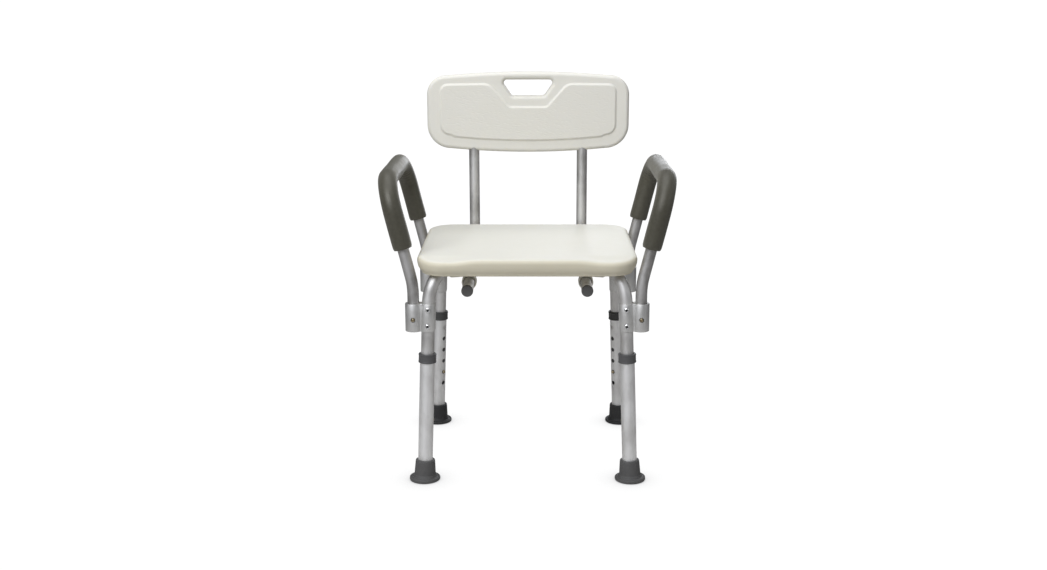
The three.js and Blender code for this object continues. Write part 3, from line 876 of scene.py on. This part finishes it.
def snap_button(kind, which, at, outward, along, tube_r, proud):
    """A brass button with a domed end, and the folded leaf spring that carries it inside the tube."""
    inside = tube_r - WALL - 0.5
    tip = tube_r + proud
    profile = [(0, inside - 3), (BUTTON_R, inside - 3), (BUTTON_R, tip - 1.5, 1.2), (2.4, tip, 0.9),
               (1.5, tip, 0.4), (1.1, tip - 1.3, 0.4), (0, tip - 1.3)]
    shell = turned(profile, at, outward, 40, 6)
    across = outward.cross(along).normalized()
    a, b = LEAF_HALF_WIDTH, LEAF_HALF_THICKNESS
    fold = at - along * LEAF_REACH + outward * (inside - 8.2)
    for reach, height in ((8.0, inside - 3.2), (5.0, 7.0 - inside)):
        rings = []
        for place in (fold, at + along * reach + outward * height):
            section = [across * a + outward * b, outward * b - across * a,
                       -across * a - outward * b, across * a - outward * b]
            rings.append(shell.ring([place + point for point in section]))
        shell.loft(rings)
    button = f"{kind}_button_{which}"
    show(new_object(button, shell, brass), button, "button_brass", f"{kind}_snap_{which}")


def leg_parts():
    for leg in LEGS:
        leg_extension(leg)
        leg_collar(leg)
        hole_shadow_sleeve(leg)
        foot(leg)
        proud = LEG_R - FRAME_R + LEG_BUTTON_PROUD
        snap_button("leg", leg, on_leg(leg, BUTTON_Z), inward(leg), leg_axis(leg), FRAME_R, proud)


# ------------------------ arm brackets

def bracket_outline(leg_centre, socket_centre, inset):
    """The bracket's section: a socket ring and an open saddle, joined by a neck."""
    hand = 1 if socket_centre.x > leg_centre.x else -1
    gap = (socket_centre - leg_centre).length
    outer_saddle = SADDLE_R - inset
    outer_socket = SOCKET_R - inset
    inner = FRAME_R + 0.2 + inset
    to_slit = math.pi - SADDLE_SLIT
    to_neck = math.pi - NECK_ANGLE
    local = arc(0, 0, outer_saddle, to_slit, NECK_ANGLE, 22)
    local += arc(gap, 0, outer_socket, to_neck, -to_neck, 40)
    local += arc(0, 0, outer_saddle, -NECK_ANGLE, -to_slit, 22)
    local += arc(0, 0, inner, -to_slit, to_slit, 44)
    return [Vector((leg_centre.x + hand * p.x, leg_centre.y + p.y)) for p in local]


def arc(cx, cy, radius, start, end, steps):
    """Points round part of a circle, both ends included."""
    angles = [start + (end - start) * k / steps for k in range(steps + 1)]
    return [Vector((cx + radius * math.cos(a), cy + radius * math.sin(a))) for a in angles]


def arm_bracket(leg):
    """One extruded profile: the socket for an arm's end and the saddle that clamps the upper leg."""
    shell = Shell()
    low, high = BRACKET_Z - BRACKET_HALF, BRACKET_Z + BRACKET_HALF
    levels = [(low, 0.9), (low + 0.3, 0.3), (low + 0.9, 0.0), (high - 0.9, 0.0), (high - 0.3, 0.3), (high, 0.9)]
    outer = []
    bore = []
    for z, inset in levels:
        leg_centre = on_leg(leg, z)
        centre = socket(leg, z)
        outline = bracket_outline(leg_centre.xy, Vector((centre.x, leg_centre.y)), inset)
        outer.append(shell.ring([vec(p.x, p.y, z) for p in outline]))
        bore.append(shell.ring(circle(centre, vec(1, 0, 0), vec(0, 1, 0), ARM_R + 0.25 + inset * 0.6, 56)))
    shell.bridge_all(outer)
    shell.bridge_all(bore)
    shell.fill(outer[0], bore[0])
    shell.fill(outer[-1], bore[-1])
    bracket = new_object("bracket_" + leg, shell, bracket_finish)
    drill(bracket, [button_bore(socket(leg, ARM_BUTTON_Z), outward_y(leg))])
    show(bracket, "chair_frame", "bracket_aluminium", "arm_bracket_" + leg)


def rivet(leg, index, z):
    """A blind rivet: a bright domed flange, with the end of its mandrel down in the middle, painted near black:
    partly the steel, partly painted shade in the recess.
    """
    face = SADDLE_R + 0.1
    flange = [(1.5, 6), (2.3, 6), (2.3, face), (4.9, face, 0.2), (4.7, face + 0.9, 0.6), (3.5, face + 1.7, 0.4),
              (2.6, face + 1.5, 0.2), (2.4, face + 0.3), (1.5, face + 0.3), (1.5, 6)]
    shell = turned(flange, on_leg(leg, z), outward_y(leg), 40)
    head = new_object(f"rivet_head_{leg}_{index}", shell, zinc)
    show(head, "chair_frame", "fasteners", f"rivet_{leg}_{index}")
    stem = [(0, 7), (1.45, 7), (1.45, face + 0.35), (2.3, face + 0.4), (2.3, face + 0.7, 0.2),
            (1.1, face + 1.0, 0.3), (0, face + 1.0)]
    shell = turned(stem, on_leg(leg, z), outward_y(leg), 24)
    add_piece(new_object(f"rivet_mandrel_{leg}_{index}", shell, mandrel_steel_and_shade), "chair_frame")


def bracket_parts():
    for leg in LEGS:
        arm_bracket(leg)
        rivet(leg, 1, BRACKET_Z - RIVET_RISE)
        rivet(leg, 2, BRACKET_Z + RIVET_RISE)


# ------------------------ arms

def legs_of(hand):
    """The front and the rear leg on one side."""
    return [leg for leg in LEGS if LEGS[leg][0] == HANDS[hand]]


def arm_corners(hand):
    """Up out of the front socket, over the top and down into the rear socket, leaning outward."""
    lean = vec(HANDS[hand] * math.tan(ARM_LEAN), 0, 1) * (ARM_TOP - ARM_KNEE_Z)
    posts = []
    for leg in legs_of(hand):
        knee = socket(leg, ARM_KNEE_Z)
        posts.append([socket(leg, ARM_FOOT_Z), knee, knee + lean])
    return posts[0] + posts[1][::-1]


def grip_shape(path):
    """Foam drawn over a bent tube: round ends, an uneven skin, and shallow creases inside the bends."""
    end_rounding, end_length = 1.1, 2.2
    wave, wave_length = 0.22, 21.0
    crease_depth, crease_pitch = 0.7, 9.5
    squeeze = 0.5

    def extra(i, angle):
        bend, facing = path.facing(i, angle)
        gone = path.lengths[i]
        edge = min(gone, path.lengths[-1] - gone)
        swell = wave * math.sin(gone / wave_length + 2 * math.cos(angle))
        swell -= end_rounding * math.exp(-edge / end_length)
        crease = 0.5 + 0.5 * math.cos(gone * 2 * math.pi / crease_pitch)
        return swell - crease_depth * bend * max(0.0, facing) ** 2 * crease - squeeze * bend * abs(facing)

    return extra


def arm_grip(hand):
    """The foam sleeve over an arm's upper bends, ending at one height in front and behind."""
    front_knee, front_top, rear_top, rear_knee = arm_corners(hand)[1:5]
    share = (GRIP_END_Z - ARM_KNEE_Z) / (ARM_TOP - ARM_KNEE_Z)
    corners = [front_knee.lerp(front_top, share), front_top, rear_top, rear_knee.lerp(rear_top, share)]
    path = Path(corners, [ARM_BEND] * 2, math.radians(1.5), spacing=2.5)
    shell = sweep(path, GRIP_R - 0.25, ARM_R + 0.1, 64, 1.2, grip_shape(path))
    grip = new_object("grip_" + hand, shell, foam, 50)
    show(grip, "arm_" + hand, "grip_foam", "arm_grip_" + hand)


def arm_tube(hand):
    bends = [ARM_KNEE_BEND, ARM_BEND, ARM_BEND, ARM_KNEE_BEND]
    tube = bare_tube("arm_rail_" + hand, arm_corners(hand), bends, ARM_R, arm_tube_shaded_metal)
    drill(tube, [button_bore(socket(leg, ARM_BUTTON_Z), outward_y(leg)) for leg in legs_of(hand)])
    show(tube, "arm_" + hand, "tube_aluminium", "arm_tube_" + hand)


def arm_parts():
    for hand in HANDS:
        arm_tube(hand)
        arm_grip(hand)
    for leg in LEGS:
        proud = SOCKET_R - ARM_R + ARM_BUTTON_PROUD
        snap_button("arm", leg, socket(leg, ARM_BUTTON_Z), outward_y(leg), vec(0, 0, -1), ARM_R, proud)


# ------------------------ seat

def smooth(t):
    """0 up to 0, 1 from 1 on, and an even ease between them."""
    t = min(1.0, max(0.0, t))
    return t * t * (3 - 2 * t)


def eased(value, start, end):
    return smooth((value - start) / (end - start))


def seat_height(x, y):
    """The seat's top: almost level, a little dished, and lower at the front on both sides, under the thighs."""
    wide = min(1.0, abs(x) / SEAT_HALF)
    deep = min(1.0, abs(y - (SEAT_FRONT + SEAT_BACK) / 2) / ((SEAT_BACK - SEAT_FRONT) / 2))
    dish = SEAT_DISH * (1 - wide ** 2) * (1 - deep ** 2)
    thigh = THIGH_DROP * eased(abs(x), *THIGH_X) * eased(y, *THIGH_Y)
    return SEAT_TOP - dish - thigh


def seat_outline():
    """The seat's outline from above, anticlockwise."""
    w, c = SEAT_HALF, SEAT_CORNER
    corners = [(w, SEAT_FRONT, c), (w, SEAT_BACK, c), (-w, SEAT_BACK, c), (-w, SEAT_FRONT, c)]
    return even(soften(corners, 20, closed=True), 7.0)


def seat_shell():
    """Rings from the middle of the top, over the rolled edge, down the side and in to the hollow underneath."""
    shell = Shell()
    outline = seat_outline()
    middle = Vector((0, (SEAT_FRONT + SEAT_BACK) / 2))
    top_edge = offset(outline, SEAT_ROLL)
    edge_heights = [seat_height(p.x, p.y) for p in top_edge]
    side_heights = [z - SEAT_ROLL for z in edge_heights]

    def lay(points, heights):
        return shell.ring([vec(p.x, p.y, z) for p, z in zip(points, heights)])

    def lay_level(points, z):
        return lay(points, [z] * len(points))

    rings = [lay_level([middle] * len(outline), seat_height(*middle))]
    top_rings = 45
    for k in range(1, top_rings + 1):
        points = [middle.lerp(p, k / top_rings) for p in top_edge]
        rings.append(lay(points, [seat_height(p.x, p.y) for p in points]))
    for rise, run in quarter_round(12)[1:]:
        rings.append(lay(offset(outline, SEAT_ROLL * run), [z - SEAT_ROLL * rise for z in edge_heights]))
    for share, leaned in ((0.25, 0.16), (0.6, 0.45), (0.85, 0.76)):
        points = offset(outline, SEAT_TUCK * leaned * share)
        rings.append(lay(points, [z + (SEAT_BOTTOM + SEAT_LIP - z) * share for z in side_heights]))
    for rise, run in quarter_round(6):
        points = offset(outline, SEAT_TUCK + SEAT_LIP * rise)
        rings.append(lay_level(points, SEAT_BOTTOM + SEAT_LIP * run))
    hollow = ((15, SEAT_BOTTOM), (15.6, SEAT_BOTTOM + 0.8), (15.8, SEAT_CEILING - 8), (18, SEAT_CEILING - 5))
    for inset, z in hollow:
        rings.append(lay_level(offset(outline, inset), z))
    inner = [Vector(shell.points[i][:2]) for i in rings[-1]]
    for share in (0.8, 0.6, 0.4, 0.2, 0.0):
        points = [middle.lerp(p, share) for p in inner]
        rings.append(lay(points, [min(SEAT_CEILING - 5, seat_height(p.x, p.y) - 5.5) for p in points]))
    shell.bridge_all(rings)
    return shell


def box_post(shell, centre, along, half_along, half_across, low, high, draft=1.5):
    """A drafted moulded post with a rounded section, standing between two heights."""
    across = vec(-along.y, along.x, 0)
    rings = []
    for z, grow in ((low, 0.0), (low + 1.0, 0.8), (high, 0.8 + draft)):
        a, b = half_along + grow - 0.8, half_across + grow - 0.8
        section = soften([(a, -b, 2.5), (a, b, 2.5), (-a, b, 2.5), (-a, -b, 2.5)], 4, closed=True)
        rings.append(shell.ring([centre + along * p.x + across * p.y + vec(0, 0, z) for p in section]))
    shell.loft(rings)


def channel_wall(shell, leg, aside):
    """One wall of the channel that a frame tube lies in, deeper towards the seat's middle."""
    along = in_plane(leg, 1, 0)
    across = vec(-along.y, along.x, 0)
    half = across * 1.5
    top = vec(0, 0, SEAT_CEILING + 1)
    rings = []
    for reach, low in ((212, 403), (205, 399), (130, 392), (95, 390)):
        middle = along * reach + across * aside
        edge = vec(0, 0, low)
        corners = [middle + half + edge, middle + half + top, middle - half + top, middle - half + edge]
        rings.append(shell.ring(corners))
    shell.loft(rings)


def seat_saddles():
    """Under the seat: the posts and channels that the frame tubes nest in."""
    shell = Shell()
    for leg in LEGS:
        at = in_plane(leg, SCREW_REACH, 0)
        box_post(shell, at, in_plane(leg, 1, 0), 16, 18.5, FRAME_TOP + 1, SEAT_CEILING + 1)
        for side in (-1, 1):
            channel_wall(shell, leg, side * (FRAME_R + 2.4))
    saddles = new_object("seat_saddles", shell, ivory)
    beds = [(in_plane(leg, 100, FRAME_TOP), in_plane(leg, 215, FRAME_TOP)) for leg in LEGS]
    drill(saddles, [rod(start, end, FRAME_R + SLIDE_GAP) for start, end in beds])
    add_piece(saddles, "chair_frame")


def seat_boss(place, hand, y):
    """A ring that a back tube slides through, wider at its front mouth, and its post up to the seat."""
    centre = on_back_tube(hand, y)
    bore, mouth = BACK_TUBE_R + SLIDE_GAP, BACK_TUBE_R + 1.7
    profile = [(mouth, -BOSS_HALF), (BOSS_R - 0.6, -BOSS_HALF, 0.5), (BOSS_R, -BOSS_HALF + 0.8, 0.4),
               (BOSS_R, BOSS_HALF - 0.8, 0.4), (BOSS_R - 0.6, BOSS_HALF, 0.5), (bore, BOSS_HALF),
               (bore, 3 - BOSS_HALF), (mouth, -BOSS_HALF)]
    ring = new_object(f"boss_ring_{place}_{hand}", turned(profile, centre, vec(0, 1, 0), 56), ivory)
    if place == "rear":
        drill(ring, [button_bore(centre, vec(0, 0, -1))])
    add_piece(ring, "chair_frame")
    shell = Shell()
    low = BACK_TUBE_Z + 12.2
    box_post(shell, vec(centre.x, y, 0), vec(0, 1, 0), BOSS_HALF - 1.5, 9, low, SEAT_CEILING + 1, 0.8)
    add_piece(new_object(f"boss_post_{place}_{hand}", shell, ivory), "chair_frame")


def seat_parts():
    seat = new_object("seat_shell", seat_shell(), ivory_seat, 60)
    show(seat, "chair_frame", "ivory_plastic", "seat")
    seat_saddles()
    for hand in HANDS:
        seat_boss("front", hand, BOSS_FRONT)
        seat_boss("rear", hand, BOSS_REAR)


# ------------------------ back

def panel_outline():
    """The backrest's outline in x and z, anticlockwise: top and bottom edges bow outward in the middle."""
    w = PANEL_HALF
    low, high = PANEL_BOTTOM + PANEL_BOW, PANEL_TOP - PANEL_BOW
    lower, upper = PANEL_LOW_CORNER, PANEL_HIGH_CORNER
    quarter = math.pi / 2
    points = arc(w - lower, low + lower, lower, -quarter, 0, 18)
    points += arc(w - upper, high - upper, upper, 0, quarter, 18)
    points += bowed(w - upper, w - upper, high, PANEL_BOW, 46)
    points += arc(upper - w, high - upper, upper, quarter, 2 * quarter, 18)
    points += arc(lower - w, low + lower, lower, 2 * quarter, 3 * quarter, 18)
    points += bowed(lower - w, w - lower, low, -PANEL_BOW, 46)
    return points


def bowed(start, half, level, bow, count):
    """Points of a bowed edge from x = start across to x = -start, without its ends; it is level at x = half."""
    spread = [start - 2 * start * k / count for k in range(1, count)]
    return [Vector((x, level + bow * (1 - (x / half) ** 2))) for x in spread]


def both_sides(right):
    """Corners up the right-hand side, and their mirror image back down the left."""
    return right + [(-x, z, radius) for x, z, radius in reversed(right)]


def field_outline():
    """The raised field: it follows the panel's sides and dips round the hand hole."""
    w, top, low = FIELD_HALF, FIELD_TOP, FIELD_BOTTOM
    sides = both_sides([(w, low + 0.5, FIELD_CORNER), (w, top, 16), (83, top + 1.5, 26), (40, 693, 12)])
    return soften(sides, 10, closed=True) + bowed(FIELD_CORNER - w, w, low, -FIELD_BOW, 40)


def hand_hole():
    """The hand hole: wider at the top than at the bottom."""
    return soften(both_sides([(*HOLE_BOTTOM, 9), (*HOLE_TOP, 7)]), 8, closed=True)


def back_panel():
    """A blow-moulded panel: rolled edge, level rim, raised field in front, and the hand hole through."""
    shell = Shell()
    outline = panel_outline()
    hole = hand_hole()
    rim = PANEL_FRONT + FIELD_RISE

    def lay(points, inset, y):
        return shell.ring([vec(p.x, y, p.y) for p in offset(points, inset)])

    edge = [lay(outline, PANEL_ROLL * run, rim + PANEL_ROLL * rise) for rise, run in quarter_round(10)]
    edge += [lay(outline, PANEL_ROLL * rise, PANEL_REAR - PANEL_ROLL * run) for rise, run in quarter_round(10)]
    shell.bridge_all(edge)

    field = field_outline()
    shares = [k / 8 for k in range(9)]
    step = [lay(field, FIELD_STEP * (share - 0.5), rim - FIELD_RISE * smooth(share)) for share in shares]
    shell.bridge_all(step)

    front, rear = HOLE_FRONT_SOFT, HOLE_REAR_SOFT
    inside = [lay(hole, -front * run, rim + front * rise) for rise, run in quarter_round(8)]
    inside += [lay(hole, -rear * rise, PANEL_REAR - rear * run) for rise, run in quarter_round(8)]
    shell.bridge_all(inside)

    shell.fill(edge[0], step[0], inside[0])
    shell.fill(step[-1])
    shell.fill(edge[-1], inside[-1])
    return new_object("back_panel", shell, ivory, 40)


def backrest():
    """The panel, bored for the back tubes, with the dashed finish on the flat front of its field."""
    panel = back_panel()
    ends = [(on_back_post(hand, PANEL_BOTTOM - 20), on_back_post(hand, PANEL_BOTTOM + 40)) for hand in HANDS]
    drill(panel, [rod(low, high, BACK_TUBE_R + SLIDE_GAP) for low, high in ends], 40)
    panel.data.materials.append(ivory_field)
    front = (PANEL_FRONT + SHIFT_Y) * MM
    for polygon in panel.data.polygons:
        if abs(polygon.center.y - front) < 0.2 * MM and polygon.normal.y < -0.9:
            polygon.material_index = 1
    weigh_normals(panel)
    show(panel, "back", "ivory_plastic", "backrest")


def back_tube(hand):
    """From its plug in front, back through the bosses and up into the panel."""
    front, bend = on_back_tube(hand, BACK_TUBE_FRONT), on_back_tube(hand, BACK_TUBE_Y)
    corners = [front, bend, on_back_post(hand, BACK_TUBE_TOP)]
    tube = bare_tube("back_post_" + hand, corners, [BACK_BEND], BACK_TUBE_R, frame_tube_dimmed_metal)
    drill(tube, [button_bore(on_back_tube(hand, BOSS_REAR), vec(0, 0, -1))])
    show(tube, "back", "tube_aluminium", "back_tube_" + hand)


def back_plug(hand):
    """A round-edged head over the tube's front end, and a stem that tapers into it."""
    bore = BACK_TUBE_R - WALL
    profile = [(0, -5), (9.4, -5, 1.2), (PLUG_R, -3.4, 0.8), (PLUG_R, -0.1), (bore - 0.2, -0.1),
               (bore - 0.6, 18), (0, 18)]
    shell = turned(profile, on_back_tube(hand, BACK_TUBE_FRONT), vec(0, 1, 0), 56)
    show(new_object("end_plug_" + hand, shell, plug_plastic), "back", "collar_plastic", "back_plug_" + hand)


def cross_slot(at, along, out):
    """The cutter for one slot of a cross recess."""
    shell = Shell()
    across = along.cross(out)
    half_length, half_width, depth = 3.0, 0.55, 4.0
    section = [(half_length, half_width), (-half_length, half_width),
               (-half_length, -half_width), (half_length, -half_width)]
    low = shell.ring([at + along * a + across * b for a, b in section])
    high = shell.ring([at + out * depth + along * a + across * b for a, b in section])
    shell.loft([low, high])
    return shell


def bolt_head(hand, index, z):
    """A domed screw head with a cross recess, on the back of the panel."""
    out = vec(0, 1, 0)
    face = PANEL_REAR - BACK_TUBE_Y + 0.1
    profile = [(0, -5.5), (2.5, -5.5), (2.5, face), (6, face, 0.3), (5.6, face + 1.6, 1.0),
               (3.4, face + 2.9, 1.2), (0, face + 3.0)]
    head = new_object(f"bolt_head_{hand}_{index}", turned(profile, on_back_post(hand, z), out, 40), zinc)
    at = on_back_post(hand, z) + out * (face + 1.4)
    for rise in (1, -1):
        drill(head, [cross_slot(at, vec(1, 0, rise).normalized(), out)])
    show(head, "back", "fasteners", f"back_bolt_{hand}_{index}")


def back_parts():
    backrest()
    for hand in HANDS:
        back_tube(hand)
        back_plug(hand)
        proud = BOSS_R - BACK_TUBE_R + BACK_BUTTON_PROUD
        at = on_back_tube(hand, BOSS_REAR)
        snap_button("back", hand, at, vec(0, 0, -1), vec(0, 1, 0), BACK_TUBE_R, proud)
        for index, z in enumerate(BACK_BOLT_Z, 1):
            bolt_head(hand, index, z)


# ------------------------ fasteners under the seat

def crossing_bolt():
    """The bolt down through both frame tubes where they cross, and its nut."""
    top = FRAME_TOP + FRAME_R + 0.1
    low = FRAME_TOP - CROSS_DROP - FRAME_R
    up = vec(0, 0, 1)
    bolt = [(0, low - 9), (2.4, low - 9, 0.3), (3, low - 8.2), (3, top), (7, top, 0.2), (6.6, top + 1.2, 0.6),
            (0, top + 1.6)]
    piece = new_object("crossing_bolt", turned(bolt, vec(0, 0, 0), up, 40), zinc)
    show(piece, "chair_frame", "fasteners", "cross_bolt")
    nut = [(3.1, -5.5), (5.2, -5.5), (6.0, -4.8), (6.0, -0.9), (5.6, -0.2), (3.1, -0.2), (3.1, -5.5)]
    piece = new_object("crossing_nut", turned(nut, vec(0, 0, low), up, 6), zinc, 20)
    show(piece, "chair_frame", "fasteners", "cross_nut")


def seat_screw(leg):
    """A domed screw up through a frame tube into the seat."""
    profile = [(0, -3.2), (3.0, -3.2, 0.6), (5.0, -1.6, 0.8), (5.0, -0.1), (2.4, -0.1), (2.4, 25), (0, 27)]
    shell = turned(profile, in_plane(leg, SCREW_REACH, FRAME_TOP - FRAME_R - 0.1), vec(0, 0, 1), 32)
    show(new_object("screw_head_" + leg, shell, zinc), "chair_frame", "fasteners", "seat_screw_" + leg)


def under_fasteners():
    crossing_bolt()
    for leg in LEGS:
        seat_screw(leg)


# ------------------------ floor, light and camera

LIGHT_COLOR = (0.96, 0.985, 1.05)
# name, place, target, size and power of each lamp
LIGHTS = (
    ("key", (-1.3, -2.6, 2.75), (0, 0, 0.5), (2.5, 2.1), 113),
    ("fill", (2.8, -1.4, 1.5), (0, 0, 0.45), (0.9, 1.4), 6),
    ("top", (-0.1, 0.0, 3.0), (0, 0, 0.4), (2.4, 2.4), 42),
    ("rear", (0.9, 2.9, 0.95), (0, 0, 0.5), (1.8, 1.2), 26),
)


def studio():
    shell = Shell()
    far = 9000.0
    shell.face(shell.ring([vec(-far, -far, 0), vec(far, -far, 0), vec(far, far, 0), vec(-far, far, 0)]))
    floor = new_object("studio_floor", shell, floor_paper())
    floor.location.z = -0.0002
    studio_world()
    for light in LIGHTS:
        area_light(*light)


def studio_world():
    """A dim grey room to be lit by and reflected, seen as plain white behind the chair."""
    world = bpy.data.worlds.new("studio_world")
    tree = Tree(world)
    room = tree.put(tree.nodes["Background"], Color=(1, 1, 1), Strength=0.1)
    seen = tree.add("Background", Color=(1, 1, 1), Strength=1.05)
    ray = tree.add("LightPath")
    result = tree.choose(ray.outputs["Is Camera Ray"], room.outputs["Background"], seen.outputs["Background"])
    tree.put(tree.nodes["World Output"], Surface=result)
    bpy.context.scene.world = world


def area_light(name, place, target, size, power):
    light = bpy.data.lights.new(name, "AREA")
    light.shape = "RECTANGLE"
    light.size, light.size_y = size
    light.energy = power
    light.color = LIGHT_COLOR
    obj = add_object(name, light)
    obj.location = place
    obj.rotation_euler = (Vector(target) - Vector(place)).to_track_quat("-Z", "Y").to_euler()


def camera():
    """The photograph's viewpoint: in front, a little above the top of the chair, and looking down."""
    yaw = math.radians(-0.54)
    pitch = math.radians(13.12)
    roll = math.radians(-0.12)
    place = vec(15.1, -2506.2, 934.4)
    data = bpy.data.cameras.new("camera")
    data.sensor_width = 36.0
    data.lens = 43.52
    obj = add_object("camera", data)
    obj.location = (place + vec(0, SHIFT_Y, 0)) * MM
    tilt = Matrix.Rotation(math.pi / 2 - pitch, 4, "X") @ Matrix.Rotation(roll, 4, "Z")
    obj.rotation_euler = (Matrix.Rotation(-yaw, 4, "Z") @ tilt).to_euler()
    bpy.context.scene.camera = obj


camera()
studio()
bpy.context.scene.view_settings.view_transform = "Standard"
seat_parts()
frame_tubes()
leg_parts()
bracket_parts()
arm_parts()
back_parts()
under_fasteners()
